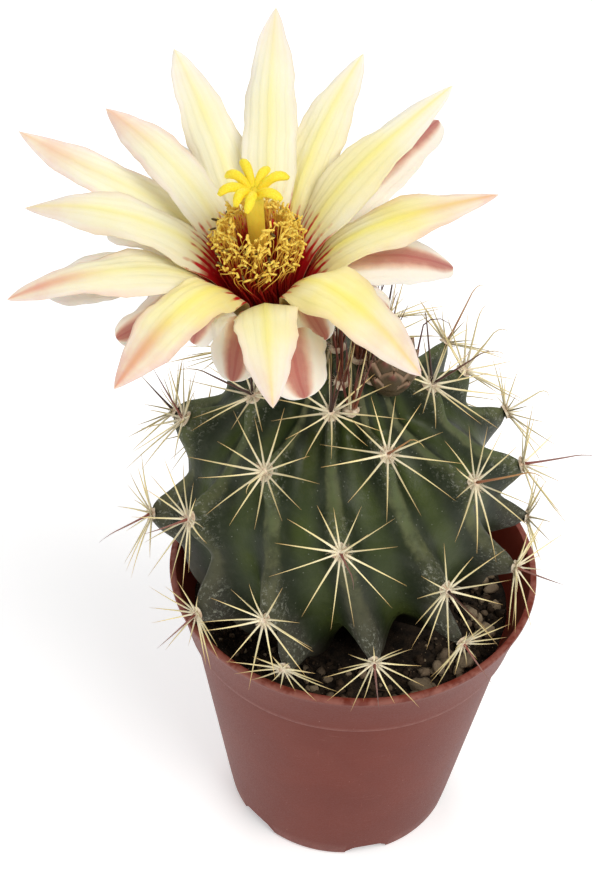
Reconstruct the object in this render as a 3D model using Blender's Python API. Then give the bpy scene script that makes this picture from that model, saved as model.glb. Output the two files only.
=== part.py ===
# A round ribbed cactus in flower, in its plastic nursery pot.
# Metres, +Z up. The origin is the centre of the pot's flat underside; -Y is the side with the longer view
# of the flower's front petals. An azimuth is counted in degrees from -Y towards +X.
import functools
import math
import random

import bpy
from mathutils import Matrix, Vector
from mathutils.bvhtree import BVHTree

MM = 0.001
GAP = 0.3 * MM

# Pot
POT_HEIGHT = 49.5 * MM
POT_BASE_RADIUS = 18.4 * MM
POT_WALL_TOP_RADIUS = 24.5 * MM
POT_COLLAR_FOOT_RADIUS = 25.3 * MM
POT_RIM_RADIUS = 27.5 * MM
POT_COLLAR_HEIGHT = 9.4 * MM
POT_WALL = 1.1 * MM
POT_FLOOR = 1.3 * MM
POT_LIP = 0.35 * MM
POT_EDGE = 0.4 * MM
DRAIN_COUNT = 6
DRAIN_WIDTH = 7.0 * MM
DRAIN_DEPTH = 2.6 * MM
DRAIN_HEIGHT = 2.1 * MM
DRAIN_AZIMUTH = 17.0

# Soil and gravel
SOIL_BELOW_RIM = 7.5 * MM
SOIL_FALL = 0.6 * MM
STONE_WALL_CLEARANCE = 0.6 * MM
# share of the half size, and share of the height, at each level of a pebble
STONE_LEVELS = ((0.62, 0.0), (0.95, 0.3), (0.9, 0.62), (0.5, 0.9))
STONE_EVENNESS = 0.86

# Stem
STEM_X = -2.5 * MM
STEM_Y = 0.5 * MM
STEM_MIDDLE_ABOVE_SOIL = 18.0 * MM
STEM_RADIUS = 27.6 * MM
STEM_UPPER_HEIGHT = 1.05 * STEM_RADIUS
STEM_FOOT_DEPTH = 3.5 * MM
STEM_FOOT_RADIUS = 12.0 * MM
STEM_FOOT_LATITUDE = -60.0
STEM_RIM_CLEARANCE = 2.6 * MM
STEM_NECK_SHARE = 0.95
RIB_COUNT = 13
RIB_AZIMUTH = 6.5
RIB_SPIRAL = 0.30
RIB_SPIRAL_LATITUDE = 15.0
RIB_ROUNDNESS = 1.6
FURROW_DEPTH = 4.8 * MM
CHIN_HEIGHT = 3.5 * MM
CHIN_SPREAD = 9.0
CHIN_SHARPNESS = 1.2
CROWN_SHARE = 0.21
SKIN_STEPS_PER_RIB = 6
SKIN_ROWS = 19
SKIN_TOP_LATITUDE = 84.0

# Spines
PAD_RADIUS = 1.5 * MM
PAD_THICKNESS = 0.9 * MM
PAD_FOOT_SHARE = 0.8
PAD_EDGE = 0.2 * MM
PAD_COLLAR_RADIUS = 0.28 * MM
SPINE_LENGTH = 0.326 * STEM_RADIUS
SPINE_WIDTH = 0.42 * MM
SPINE_RISE = 24.0
SPINE_RISE_SPREAD = 5.0
SPINE_TURN_SPREAD = 0.12
SPINE_LEAST_REACH = 1.3 * PAD_RADIUS
SPINE_TIP_RISE = 0.2 * MM
CENTRAL_DROOP = 0.3
RADIAL_SPINES = 12
SPINE_RIM_CLEARANCE = 0.6 * MM
SPINE_FLOWER_CLEARANCE = 0.5 * MM

# Flower
FLOWER_FOOT_OFFSET = (-STEM_RADIUS / 6, -STEM_RADIUS / 8)
FLOWER_CENTRE_OFFSET = (-10.9 * MM, -11.5 * MM)
FLOWER_TUBE_RISE = 17.4 * MM
FLOWER_LEAN_X = -0.04
FLOWER_LEAN_Y = -0.26
TUBE_RADIUS = 3.0 * MM
TUBE_START = (-0.25, -0.25, 0.94)
TUBE_FOOT_BULGE = 1.2
PETAL_THICKNESS = 0.7 * MM
PETAL_EDGE_THINNING = 0.45
PETAL_CUP = 0.16
PETAL_BROADEST = 0.6
PETAL_CLAW_WIDTH = 0.19
PETAL_TIP_WIDTH = 0.07
PETAL_GROWTH = 1.25
PETAL_TAPER = 2.3
PETAL_ARCH_AT = 0.42
PETAL_STATION_BIAS = 1.15
PETAL_TWIST = -3.0
CURVE_STEP = 0.02
UPPER_RING_RADIUS = 3.9 * MM
UPPER_CLAW = (0.5 * MM, 7.4 * MM)
MIDDLE_RING_RADIUS = UPPER_RING_RADIUS + PETAL_THICKNESS + GAP
MIDDLE_CLAW = (0.9 * MM, 5.6 * MM)
OUTER_RING_RADIUS = MIDDLE_RING_RADIUS + PETAL_THICKNESS + GAP
OUTER_CLAW = (1.4 * MM, 3.2 * MM)
MOUTH_RADIUS = OUTER_RING_RADIUS + PETAL_THICKNESS
MOUTH_DROP = 2.3 * MM
CUP_RADIUS = UPPER_RING_RADIUS - PETAL_THICKNESS / 2 - GAP / 2
CUP_FLOOR_RADIUS = 0.75 * CUP_RADIUS
CUP_DEPTH = 5.0 * MM
STYLE_RADIUS = 1.0 * MM
STYLE_HEIGHT = 19.0 * MM
STIGMA_THICKNESS = 1.0 * MM
STIGMA_LOBES = 8
STIGMA_REACH = 3.6 * MM
STAMEN_HEIGHT = 14.5 * MM
STAMEN_RADIUS = 5.2 * MM
STAMEN_THROAT_HEIGHT = 1.5 * MM
STAMEN_SHOULDER_HEIGHT = 6.5 * MM
STIGMA_CROWN_RISE = 0.3 * MM
STIGMA_HUB_RADIUS = 1.15 * STYLE_RADIUS
# share of the reach, lift (mm) and share of the width at each station of a stigma lobe
STIGMA_LOBE = ((0.45, 0.5, 0.9), (0.85, 1.3, 0.8), (1.0, 1.5, 0.35))

# Bud
BUD_LENGTH = 10.5 * MM
BUD_RADIUS = 3.3 * MM
BUD_KEEP_OUT = 1.05
BUD_FOOT_BULGE = 1.8
BUD_OFFSET = (STEM_RADIUS / 5, -STEM_RADIUS / 6)
BUD_LEAN = Vector((0.08, -0.08, 1.0)).normalized()
# Share of the way up the bud, and share of its radius there
BUD_PROFILE = ((0.0, 0.55), (0.14, 0.88), (0.38, 1.0), (0.62, 0.86), (0.82, 0.52), (0.94, 0.2))

# Heights that follow from the sizes above
SOIL_TOP = POT_HEIGHT - SOIL_BELOW_RIM
STEM_MIDDLE = SOIL_TOP + STEM_MIDDLE_ABOVE_SOIL
STEM_AXIS = Vector((STEM_X, STEM_Y, 0.0))
STEM_FOOT = SOIL_TOP - STEM_FOOT_DEPTH
SOIL_LATITUDE = -math.degrees(
    math.asin((SOIL_TOP - STEM_MIDDLE) / (STEM_FOOT - STEM_MIDDLE) * math.sin(math.radians(-STEM_FOOT_LATITUDE)))
)
POT_STEPS = 40


def clear_scene():
    for old in list(bpy.data.objects):
        bpy.data.objects.remove(old, do_unlink=True)


def make_material(name, colour, roughness, metallic=0.0):
    made = bpy.data.materials.new(name)
    made.use_nodes = True
    shader = made.node_tree.nodes["Principled BSDF"]
    shader.inputs["Base Color"].default_value = (*colour, 1.0)
    shader.inputs["Roughness"].default_value = roughness
    shader.inputs["Metallic"].default_value = metallic
    return made


def make_solid(name, points, faces, material, smooth_angle=50.0):
    """One closed body from its points and faces, facing outwards."""
    mesh = bpy.data.meshes.new(name)
    mesh.from_pydata([tuple(p) for p in points], [], faces)
    mesh.validate()
    mesh.shade_smooth()
    mesh.set_sharp_from_angle(angle=math.radians(smooth_angle))
    mesh.materials.append(material)
    made = bpy.data.objects.new(name, mesh)
    bpy.context.scene.collection.objects.link(made)
    return made


def ring_faces(first, second, count):
    """Quads between two closed rings; the second ring lies above the first one, seen from outside."""
    return [
        (first + i, first + (i + 1) % count, second + (i + 1) % count, second + i)
        for i in range(count)
    ]


def stacked(rings, bottom=None, top=None):
    """Points and faces of a stack of equal rings, closed by a point or a flat face at each end."""
    count = len(rings[0])
    points = [p for ring in rings for p in ring]
    faces = []
    for level in range(len(rings) - 1):
        faces += ring_faces(level * count, (level + 1) * count, count)
    last = (len(rings) - 1) * count
    if bottom is None:
        faces.append(tuple(reversed(range(count))))
    else:
        points.append(bottom)
        faces += [((i + 1) % count, i, len(points) - 1) for i in range(count)]
    if top is None:
        faces.append(tuple(range(last, last + count)))
    else:
        points.append(top)
        faces += [(last + i, last + (i + 1) % count, len(points) - 1) for i in range(count)]
    return points, faces


def circle(radius, height, count, centre=Vector((0.0, 0.0, 0.0)), wave=None):
    """A level ring; wave(angle) moves its points up or down."""
    made = []
    for i in range(count):
        angle = 2 * math.pi * i / count
        lift = wave(angle) if wave else 0.0
        made.append(centre + Vector((radius * math.cos(angle), radius * math.sin(angle), height + lift)))
    return made


def around(azimuth):
    """The level direction at an azimuth in degrees."""
    turn = math.radians(azimuth)
    return Vector((math.sin(turn), -math.cos(turn), 0.0))


# Pot: one turned wall with a collar and a lip, notched along its lower edge


def pot_outer_radius(height):
    """The wall's outside below the collar."""
    share = height / (POT_HEIGHT - POT_COLLAR_HEIGHT)
    return POT_BASE_RADIUS + (POT_WALL_TOP_RADIUS - POT_BASE_RADIUS) * share


def pot_inner_radius(height):
    """The wall's inside, below the collar and within it."""
    collar_foot = POT_HEIGHT - POT_COLLAR_HEIGHT
    if height <= collar_foot:
        return pot_outer_radius(height) - POT_WALL
    share = (height - collar_foot) / POT_COLLAR_HEIGHT
    top = POT_RIM_RADIUS - POT_WALL
    return POT_WALL_TOP_RADIUS - POT_WALL + (top - POT_WALL_TOP_RADIUS + POT_WALL) * share


def drain_cutter():
    """Blocks that stand around the lower edge and reach through the wall."""
    points = []
    faces = []
    inner = POT_BASE_RADIUS - DRAIN_DEPTH
    outer = POT_BASE_RADIUS + 4 * POT_WALL
    for i in range(DRAIN_COUNT):
        out = around(DRAIN_AZIMUTH + 360.0 * i / DRAIN_COUNT)
        side = Vector((-out.y, out.x, 0.0)) * (DRAIN_WIDTH / 2)
        low = Vector((0.0, 0.0, -POT_WALL))
        high = Vector((0.0, 0.0, DRAIN_HEIGHT))
        first = len(points)
        corners = [out * inner - side, out * outer - side, out * outer + side, out * inner + side]
        points += [c + low for c in corners] + [c + high for c in corners]
        faces.append((first + 3, first + 2, first + 1, first))
        faces.append((first + 4, first + 5, first + 6, first + 7))
        faces += ring_faces(first, first + 4, 4)
    return points, faces


def build_pot(material):
    steps = POT_STEPS
    collar_foot = POT_HEIGHT - POT_COLLAR_HEIGHT
    rings = [
        circle(POT_BASE_RADIUS - POT_EDGE, 0.0, steps),
        circle(pot_outer_radius(POT_EDGE), POT_EDGE, steps),
        circle(POT_WALL_TOP_RADIUS, collar_foot, steps),
        circle(POT_COLLAR_FOOT_RADIUS, collar_foot + POT_EDGE, steps),
        circle(POT_RIM_RADIUS, POT_HEIGHT - 4 * POT_LIP, steps),
        circle(POT_RIM_RADIUS, POT_HEIGHT - POT_LIP, steps),
        circle(POT_RIM_RADIUS - POT_LIP, POT_HEIGHT, steps),
        circle(POT_RIM_RADIUS - POT_WALL, POT_HEIGHT, steps),
        circle(pot_inner_radius(collar_foot), collar_foot, steps),
        circle(pot_inner_radius(POT_FLOOR), POT_FLOOR, steps),
    ]
    points, faces = stacked(rings)
    pot = make_solid("pot", points, faces, material, 30.0)
    points, faces = drain_cutter()
    cutter = make_solid("drain_cutter", points, faces, material)
    cutter.hide_render = True
    cutter.display_type = "WIRE"
    cut = pot.modifiers.new("drain_notches", "BOOLEAN")
    cut.operation = "DIFFERENCE"
    cut.solver = "EXACT"
    cut.object = cutter


# Stem: a ribbed body whose ribs turn slowly around it, with a chin at each spine cushion

# Latitudes, in degrees, of the cushions up each rib, from the rib at RIB_AZIMUTH round towards +X
RIB_CUSHIONS = [
    (67, 30, -7),
    (55, 14, -12),
    (38, 3),
    (65, 24, -5),
    (53, 22),
    (44, 6),
    (62, 25, -8),
    (46, 8),
    (64, 28, -4),
    (50, 20),
    (36, 6),
    (60, 22, -7),
    (46, 6, -14),
]


def rib_azimuth(rib, latitude):
    return RIB_AZIMUTH + rib * 360.0 / RIB_COUNT - RIB_SPIRAL * (latitude - RIB_SPIRAL_LATITUDE)


def stem_height(latitude):
    if latitude >= 0:
        return STEM_MIDDLE + STEM_UPPER_HEIGHT * math.sin(math.radians(latitude))
    share = math.sin(math.radians(latitude)) / math.sin(math.radians(STEM_FOOT_LATITUDE))
    return STEM_MIDDLE - (STEM_MIDDLE - STEM_FOOT) * share


def stem_radius(latitude):
    """Radius over the chins: round above the middle, drawn in below it to pass inside the rim."""
    if latitude >= 0:
        return STEM_RADIUS * math.cos(math.radians(latitude))
    ridges = pot_inner_radius(POT_HEIGHT) - STEM_AXIS.length - STEM_RIM_CLEARANCE
    neck = min(ridges + CHIN_HEIGHT, STEM_NECK_SHARE * STEM_RADIUS)
    at_rim = (POT_HEIGHT - STEM_FOOT) / (STEM_MIDDLE - STEM_FOOT)
    filled = (neck - STEM_FOOT_RADIUS) / (STEM_RADIUS - STEM_FOOT_RADIUS)
    power = math.log(1.0 - filled) / math.log(1.0 - at_rim)
    here = (stem_height(latitude) - STEM_FOOT) / (STEM_MIDDLE - STEM_FOOT)
    return STEM_RADIUS - (STEM_RADIUS - STEM_FOOT_RADIUS) * (1.0 - here) ** power


def chin(rib, latitude):
    """1 at a cushion of this rib, and falling to 0 between its cushions."""
    return max(math.exp(-(abs((latitude - at) / CHIN_SPREAD) ** 1.5)) for at in RIB_CUSHIONS[rib])


def stem_point(column, latitude):
    """A point of the skin; column counts ribs, so whole numbers run along the ridges."""
    phase = column - math.floor(column + 0.5)
    ridge = 1.0 - abs(2.0 * phase) ** RIB_ROUNDNESS
    rib = int(math.floor(column + 0.5)) % RIB_COUNT
    fade = min(1.0, max(0.0, math.cos(math.radians(latitude)) - CROWN_SHARE) / CROWN_SHARE)
    nose = chin(rib, latitude) * (1.0 - abs(2.0 * phase)) ** CHIN_SHARPNESS
    dip = (FURROW_DEPTH * (1.0 - ridge) + CHIN_HEIGHT * (ridge - nose)) * fade
    normal = stem_normal(rib_azimuth(column, latitude), latitude)
    return stem_surface(rib_azimuth(column, latitude), latitude) - normal * dip


def stem_surface(azimuth, latitude):
    """The plain round body that touches the tips of the chins."""
    place = STEM_AXIS + around(azimuth) * stem_radius(latitude)
    place.z = stem_height(latitude)
    return place


def stem_normal(azimuth, latitude):
    """Outward direction of the plain round body."""
    step = 0.5
    rise = stem_height(latitude + step) - stem_height(latitude - step)
    shrink = stem_radius(latitude - step) - stem_radius(latitude + step)
    return (around(azimuth) * rise + Vector((0.0, 0.0, shrink))).normalized()


def cushion_row(column, latitude, row_step):
    """Moves a point on a ridge up or down to the cushion that lies within half a row of it."""
    phase = column - math.floor(column + 0.5)
    rib = int(math.floor(column + 0.5)) % RIB_COUNT
    for at in RIB_CUSHIONS[rib]:
        if abs(at - latitude) <= row_step / 2:
            return latitude + (at - latitude) * max(0.0, 1.0 - 3.0 * abs(phase))
    return latitude


@functools.lru_cache
def stem_mesh():
    """Points and faces of the whole skin."""
    row_step = (SKIN_TOP_LATITUDE - STEM_FOOT_LATITUDE) / (SKIN_ROWS - 1)
    columns = [i / SKIN_STEPS_PER_RIB for i in range(RIB_COUNT * SKIN_STEPS_PER_RIB)]
    rings = []
    for row in range(SKIN_ROWS):
        latitude = STEM_FOOT_LATITUDE + row_step * row
        rings.append([stem_point(c, cushion_row(c, latitude, row_step)) for c in columns])
    for place in rings[0]:
        place.z = STEM_FOOT
    foot = STEM_AXIS + Vector((0.0, 0.0, STEM_FOOT))
    crown = STEM_AXIS + Vector((0.0, 0.0, stem_height(90.0)))
    return stacked(rings, foot, crown)


@functools.lru_cache
def skin_tree():
    return BVHTree.FromPolygons(*stem_mesh())


def on_skin(place):
    """The point 2 GAP above the skin, straight below a place over the crown."""
    hit = skin_tree().ray_cast(Vector((place.x, place.y, 2 * STEM_MIDDLE)), Vector((0.0, 0.0, -1.0)))[0]
    return hit + Vector((0.0, 0.0, 2 * GAP))


def seated(ring, centre, bulge):
    """A foot ring laid over the skin, clear of any ridge out to bulge times its radius."""
    made = []
    for place in ring:
        touched = [on_skin(centre.lerp(place, share)).z for share in (0.5, 0.7, 0.85, 1.0, bulge)]
        made.append(Vector((place.x, place.y, max(touched))))
    return made


def crown_point(offset):
    """A point on the skin at a level offset from the stem's axis."""
    return on_skin(STEM_AXIS + Vector((*offset, 0.0)))


def build_stem(material):
    points, faces = stem_mesh()
    make_solid("stem", points, faces, material, 60.0)


def build_soil(material):
    """Fills the pot up to SOIL_TOP, with a hollow that holds the foot of the stem."""
    wall_top = SOIL_TOP - SOIL_FALL
    bottom = POT_FLOOR + GAP
    collar_foot = POT_HEIGHT - POT_COLLAR_HEIGHT
    rings = [
        circle(pot_inner_radius(bottom) - GAP, bottom, POT_STEPS),
        circle(pot_inner_radius(collar_foot) - GAP, collar_foot, POT_STEPS),
        circle(pot_inner_radius(wall_top) - GAP, wall_top, POT_STEPS),
        circle(pot_inner_radius(wall_top) - 3 * GAP, SOIL_TOP, POT_STEPS),
    ]
    for latitude in (SOIL_LATITUDE, (SOIL_LATITUDE + STEM_FOOT_LATITUDE) / 2, STEM_FOOT_LATITUDE):
        height = max(stem_height(latitude), STEM_FOOT) - GAP * (latitude == STEM_FOOT_LATITUDE)
        rings.append(circle(stem_radius(latitude) + GAP, height, POT_STEPS, STEM_AXIS))
    points, faces = stacked(rings)
    make_solid("soil", points, faces, material, 40.0)


def build_stone(name, azimuth, inwards, size, turn, material):
    """A worn pebble with a level underside, lying on the soil beside the pot's wall."""
    made = random.Random(name)
    steps = 8
    rings = []
    for share, rise in STONE_LEVELS:
        ring = []
        for i in range(steps):
            angle = 2 * math.pi * i / steps
            reach = share * made.uniform(STONE_EVENNESS, 1.0)
            level = Vector((size[0] * math.cos(angle), size[1] * math.sin(angle), 0.0)) * reach
            ring.append(level + Vector((0.0, 0.0, size[2] * rise)))
        rings.append(ring)
    points, faces = stacked(rings, top=Vector((0.0, 0.0, size[2])))
    stone = make_solid(name, points, faces, material, 40.0)
    stone.rotation_euler.z = math.radians(turn)
    stone.location = around(azimuth) * (pot_inner_radius(SOIL_TOP) - STONE_WALL_CLEARANCE - max(size) - inwards)
    stone.location.z = SOIL_TOP + GAP


# Spines: a low woolly pad with a star of straight spines and, on some, a central one


def clear_reach(start, direction, reach):
    """How long a spine can be before it meets the rim's height, the flower's tube or the bud."""
    if direction.z < 0:
        reach = min(reach, (start.z - POT_HEIGHT - SPINE_RIM_CLEARANCE) / -direction.z)
    steps = 24
    bud_steps = 8
    bud_foot = crown_point(BUD_OFFSET)
    solids = [(centre, radius) for centre, along, radius in tube_sections(steps)]
    for i in range(bud_steps + 1):
        solids.append((bud_foot + BUD_LEAN * (BUD_LENGTH * i / bud_steps), BUD_KEEP_OUT * BUD_RADIUS))
    for centre, radius in solids:
        for i in range(1, steps + 1):
            if (start + direction * (reach * i / steps) - centre).length < radius + SPINE_FLOWER_CLEARANCE:
                reach *= (i - 1) / steps
                break
    return max(reach, SPINE_LEAST_REACH)


def build_cushion(name, place, normal, turn, material, central):
    """The pad's base is at place; every other face of its edge is drawn out into a spine."""
    made = random.Random(name)
    sides = 2 * RADIAL_SPINES
    pitch = 2 * math.pi / RADIAL_SPINES
    half = 0.5 * SPINE_WIDTH / PAD_RADIUS
    edge = PAD_EDGE + SPINE_WIDTH
    across = Vector((0.0, 0.0, 1.0)).cross(normal).normalized()
    along = normal.cross(across)

    def local(angle, radius, height):
        level = across * math.cos(angle + math.radians(turn)) + along * math.sin(angle + math.radians(turn))
        return place + level * radius + normal * height

    angles = []
    for i in range(RADIAL_SPINES):
        angles += [pitch * i - half, pitch * i + half]
    points = [local(a, PAD_RADIUS * PAD_FOOT_SHARE, 0.0) for a in angles]
    points += [local(a, PAD_RADIUS, edge) for a in angles]
    faces = [tuple(reversed(range(sides)))]
    for i in range(RADIAL_SPINES):
        a, b, c = 2 * i, 2 * i + 1, (2 * i + 2) % sides
        faces.append((b, c, sides + c, sides + b))
        angle = pitch * i + made.uniform(-SPINE_TURN_SPREAD, SPINE_TURN_SPREAD)
        climb = math.radians(SPINE_RISE + made.uniform(-SPINE_RISE_SPREAD, SPINE_RISE_SPREAD))
        direction = (local(angle, math.cos(climb), math.sin(climb)) - place).normalized()
        reach = clear_reach(place, direction, SPINE_LENGTH * made.uniform(0.86, 1.04))
        points.append(place + direction * reach)
        t = len(points) - 1
        faces += [(a, b, t), (b, sides + b, t), (sides + b, sides + a, t), (sides + a, a, t)]
    collar = len(points)
    points += [local(math.pi / 2 * (i + 0.5), PAD_COLLAR_RADIUS, PAD_THICKNESS) for i in range(4)]
    top = len(points)
    outwards = (normal - along * CENTRAL_DROOP).normalized()
    least = PAD_THICKNESS + SPINE_TIP_RISE
    reach = clear_reach(place, outwards, max(central, least))
    points.append(place + outwards * max(reach, least))
    per = sides // 4
    for i in range(4):
        for j in range(per):
            a = sides + (i * per + j) % sides
            b = sides + (i * per + j + 1) % sides
            faces.append((a, b, collar + i))
        a = sides + ((i + 1) * per) % sides
        faces.append((collar + i, a, collar + (i + 1) % 4))
        faces.append((collar + i, collar + (i + 1) % 4, top))
    make_solid(name, points, faces, material, 40.0)


# Cushions built as nodes: rib, place on that rib, spin of the star, length of the central spine (mm)
CUSHIONS = [
    (0, 0, 5, 11), (0, 1, 12, 0), (0, 2, 3, 6),
    (1, 0, 20, 8), (1, 1, 8, 0), (1, 2, 14, 0),
    (2, 0, 0, 7), (2, 1, 16, 0),
    (3, 0, 9, 10), (3, 1, 6, 0),
    (4, 0, 18, 9), (4, 1, 2, 0),
    (5, 0, 9, 7),
    (6, 0, 10, 9),
    (8, 0, 11, 9),
    (9, 0, 7, 7),
    (10, 0, 15, 7), (10, 1, 1, 0),
    (11, 0, 8, 10), (11, 1, 19, 7), (11, 2, 5, 0),
    (12, 0, 13, 8), (12, 1, 2, 6), (12, 2, 7, 0),
]


def build_cushions(material):
    for rib, index, turn, central in CUSHIONS:
        latitude = RIB_CUSHIONS[rib][index]
        azimuth = rib_azimuth(rib, latitude)
        normal = stem_normal(azimuth, latitude)
        place = stem_point(float(rib), latitude) + normal * GAP
        name = f"spines_{rib + 1:02d}_{index + 1}"
        build_cushion(name, place, normal, turn, material, central * MM)


# Flower: its own frame stands on the mouth of the tube, with its axis leaning a little


def flower_axes():
    """(front, right, axis) as unit vectors."""
    axis = Vector((FLOWER_LEAN_X, FLOWER_LEAN_Y, 1.0)).normalized()
    front = (Vector((0.0, -1.0, 0.0)) + axis * axis.y).normalized()
    return front, front.cross(-axis).normalized(), axis


def flower_centre():
    top = stem_height(90.0)
    return Vector((STEM_X + FLOWER_CENTRE_OFFSET[0], STEM_Y + FLOWER_CENTRE_OFFSET[1], top + FLOWER_TUBE_RISE))


def flower_point(azimuth, radius, height):
    front, right, axis = flower_axes()
    turn = math.radians(azimuth)
    return flower_centre() + (front * math.cos(turn) + right * math.sin(turn)) * radius + axis * height


# Share of the way up the tube, and width there
TUBE_PROFILE = ((0.0, 0.95), (0.12, 1.12), (0.3, 1.05), (0.5, 0.95), (0.7, 1.1), (0.86, 1.5))


def tube_mouth():
    return flower_centre() - flower_axes()[2] * MOUTH_DROP


def tube_sections(count):
    """Centre, direction and radius at equal steps up the curved tube, from the skin to under the mouth."""
    foot = crown_point(FLOWER_FOOT_OFFSET)
    axis = flower_axes()[2]
    mouth = tube_mouth()
    pull = (mouth - foot).length / 3
    controls = [foot, foot + Vector(TUBE_START).normalized() * pull, mouth - axis * pull, mouth]
    made = []
    for i in range(count):
        at = TUBE_PROFILE[-1][0] * i / (count - 1)
        for (low, narrow), (high, wide) in zip(TUBE_PROFILE, TUBE_PROFILE[1:]):
            if low <= at <= high + 1e-9:
                width = narrow + (wide - narrow) * (at - low) / (high - low)
        centre = bezier(controls, at)
        along = (bezier(controls, at + CURVE_STEP) - centre).normalized()
        made.append((centre, along, TUBE_RADIUS * width))
    return made


def build_tube(material):
    """A solid curved stalk that widens to the mouth, with the cup that holds stamens and style."""
    steps = 16
    axis = flower_axes()[2]
    mouth = tube_mouth()
    foot = crown_point(FLOWER_FOOT_OFFSET)
    rings = [ring_across(centre, along, radius, steps) for centre, along, radius in tube_sections(7)]
    rings[0] = seated(rings[0], foot, TUBE_FOOT_BULGE)
    rings.append(ring_across(mouth, axis, MOUTH_RADIUS, steps))
    rings.append(ring_across(mouth, axis, CUP_RADIUS, steps))
    rings.append(ring_across(mouth - axis * CUP_DEPTH, axis, CUP_FLOOR_RADIUS, steps))
    points, faces = stacked(rings, bottom=foot)
    make_solid("flower_tube", points, faces, material, 50.0)


def bezier(controls, at):
    a, b, c, d = controls
    left = 1.0 - at
    return a * left**3 + b * (3 * left * left * at) + c * (3 * left * at * at) + d * at**3


def ring_across(centre, along, radius, count):
    """A ring of points square to a direction, turning the same way round as the flower."""
    right = flower_axes()[1]
    side = (right - along * right.dot(along)).normalized()
    other = along.cross(side)
    made = []
    for i in range(count):
        angle = 2 * math.pi * i / count
        made.append(centre + side * (radius * math.cos(angle)) + other * (radius * math.sin(angle)))
    return made


# Petals: azimuth at the ring, azimuth at the tip, tip radius, tip height, arch and width (degrees, mm).
# The inner ones are set alternately in the middle and the upper ring.
INNER_PETALS = [
    (12, 9, 22, 6.0, 7.0, 6.6),
    (48, 50, 26, 6.5, 8.0, 7.2),
    (95, 106, 29, 8.0, 2.5, 6.4),
    (122, 134, 31, 12.0, 0.5, 6.2),
    (148, 160, 31, 12.0, -1.0, 5.8),
    (173, 180, 33, 14.0, 0.5, 6.0),
    (198, 204, 32, 12.5, -1.0, 5.8),
    (222, 229, 27, 11.5, 1.5, 5.6),
    (246, 243, 34, 8.5, 2.0, 6.0),
    (270, 261, 29, 8.5, 4.5, 6.2),
    (296, 285, 30, 7.0, 3.5, 6.2),
    (334, 324, 25, 6.5, 6.5, 6.8),
]
OUTER_PETALS = [
    (26, 22, 20, 2.0, 5.0, 5.6),
    (58, 44, 14, 4.0, 3.0, 4.2),
    (83, 74, 17, 3.0, 3.0, 4.6),
    (111, 99, 24, 3.5, 2.0, 5.0),
    (137, 137, 30, 7.0, 0.0, 5.0),
    (167, 163, 22, 4.0, 0.5, 4.4),
    (210, 216, 24, 6.0, 0.5, 5.0),
    (236, 249, 21, 4.0, 1.5, 4.4),
    (263, 275, 27, 3.5, 2.5, 5.0),
    (290, 302, 20, 2.5, 3.5, 5.2),
    (318, 325, 14, 4.0, 3.0, 4.0),
    (350, 353, 17, 2.5, 5.0, 4.6),
]


def petal_width(share, width):
    """Half the width at a share of the length: a narrow claw, a broad blade and a pointed tip."""
    if share < PETAL_BROADEST:
        grown = (share / PETAL_BROADEST) ** PETAL_GROWTH
        blend = 3 * grown**2 - 2 * grown**3
        return width / 2 * (PETAL_CLAW_WIDTH + (1.0 - PETAL_CLAW_WIDTH) * blend)
    left = (share - PETAL_BROADEST) / (1.0 - PETAL_BROADEST)
    return width / 2 * max(PETAL_TIP_WIDTH, 1.0 - left**PETAL_TAPER)


def build_petal(name, ring, claw, values, material):
    """A thin closed blade along a curve that climbs from the ring and bends outwards."""
    root_azimuth, tip_azimuth, reach, height, arch, width = values
    stations = 8
    across = (-1.0, -0.5, 0.0, 0.5, 1.0)
    seat = MOUTH_DROP - GAP
    controls = [
        Vector((ring, -seat, 0.0)),
        Vector((ring + claw[0], claw[1], 0.0)),
        Vector((PETAL_ARCH_AT * reach * MM, (height + arch) * MM, 0.0)),
        Vector((reach * MM, height * MM, 0.0)),
    ]
    front_rows = []
    back_rows = []
    for station in range(stations + 1):
        share = station / stations
        at = share**PETAL_STATION_BIAS
        azimuth = root_azimuth + (tip_azimuth - root_azimuth) * (1.0 - (1.0 - at) ** 2)
        here = bezier(controls, at)
        ahead = bezier(controls, min(1.0, at + CURVE_STEP))
        behind = bezier(controls, max(0.0, at - CURVE_STEP))
        centre = flower_point(azimuth, here.x, here.y)
        along = (flower_point(azimuth, ahead.x, ahead.y) - flower_point(azimuth, behind.x, behind.y)).normalized()
        side = flower_point(azimuth + 90.0, 1.0, 0.0) - flower_centre()
        roll = PETAL_TWIST * math.sin(math.radians(tip_azimuth)) * min(1.0, 2 * at)
        side = Matrix.Rotation(math.radians(roll), 3, along) @ side
        face = side.cross(along).normalized()
        half = petal_width(share, width * MM)
        front_row = []
        back_row = []
        for v in across:
            edge = abs(v)
            cupped = face * (PETAL_CUP * half * edge**2)
            thick = PETAL_THICKNESS * (1.0 - PETAL_EDGE_THINNING * edge**2) / 2
            front_row.append(centre + side * (half * v) + cupped + face * thick)
            back_row.append(centre + side * (half * v) + cupped - face * thick)
        front_rows.append(front_row)
        back_rows.append(back_row)
    rings = [front + back[::-1] for front, back in zip(front_rows, back_rows)]
    points, faces = stacked(rings)
    make_solid(name, points, faces, material, 60.0)


def build_petals(inner, outer):
    for i, values in enumerate(INNER_PETALS):
        ring = (UPPER_RING_RADIUS, UPPER_CLAW) if i % 2 else (MIDDLE_RING_RADIUS, MIDDLE_CLAW)
        build_petal(f"petal_inner_{i + 1:02d}", *ring, values, inner)
    for i, values in enumerate(OUTER_PETALS):
        build_petal(f"petal_outer_{i + 1:02d}", OUTER_RING_RADIUS, OUTER_CLAW, values, outer)


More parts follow.
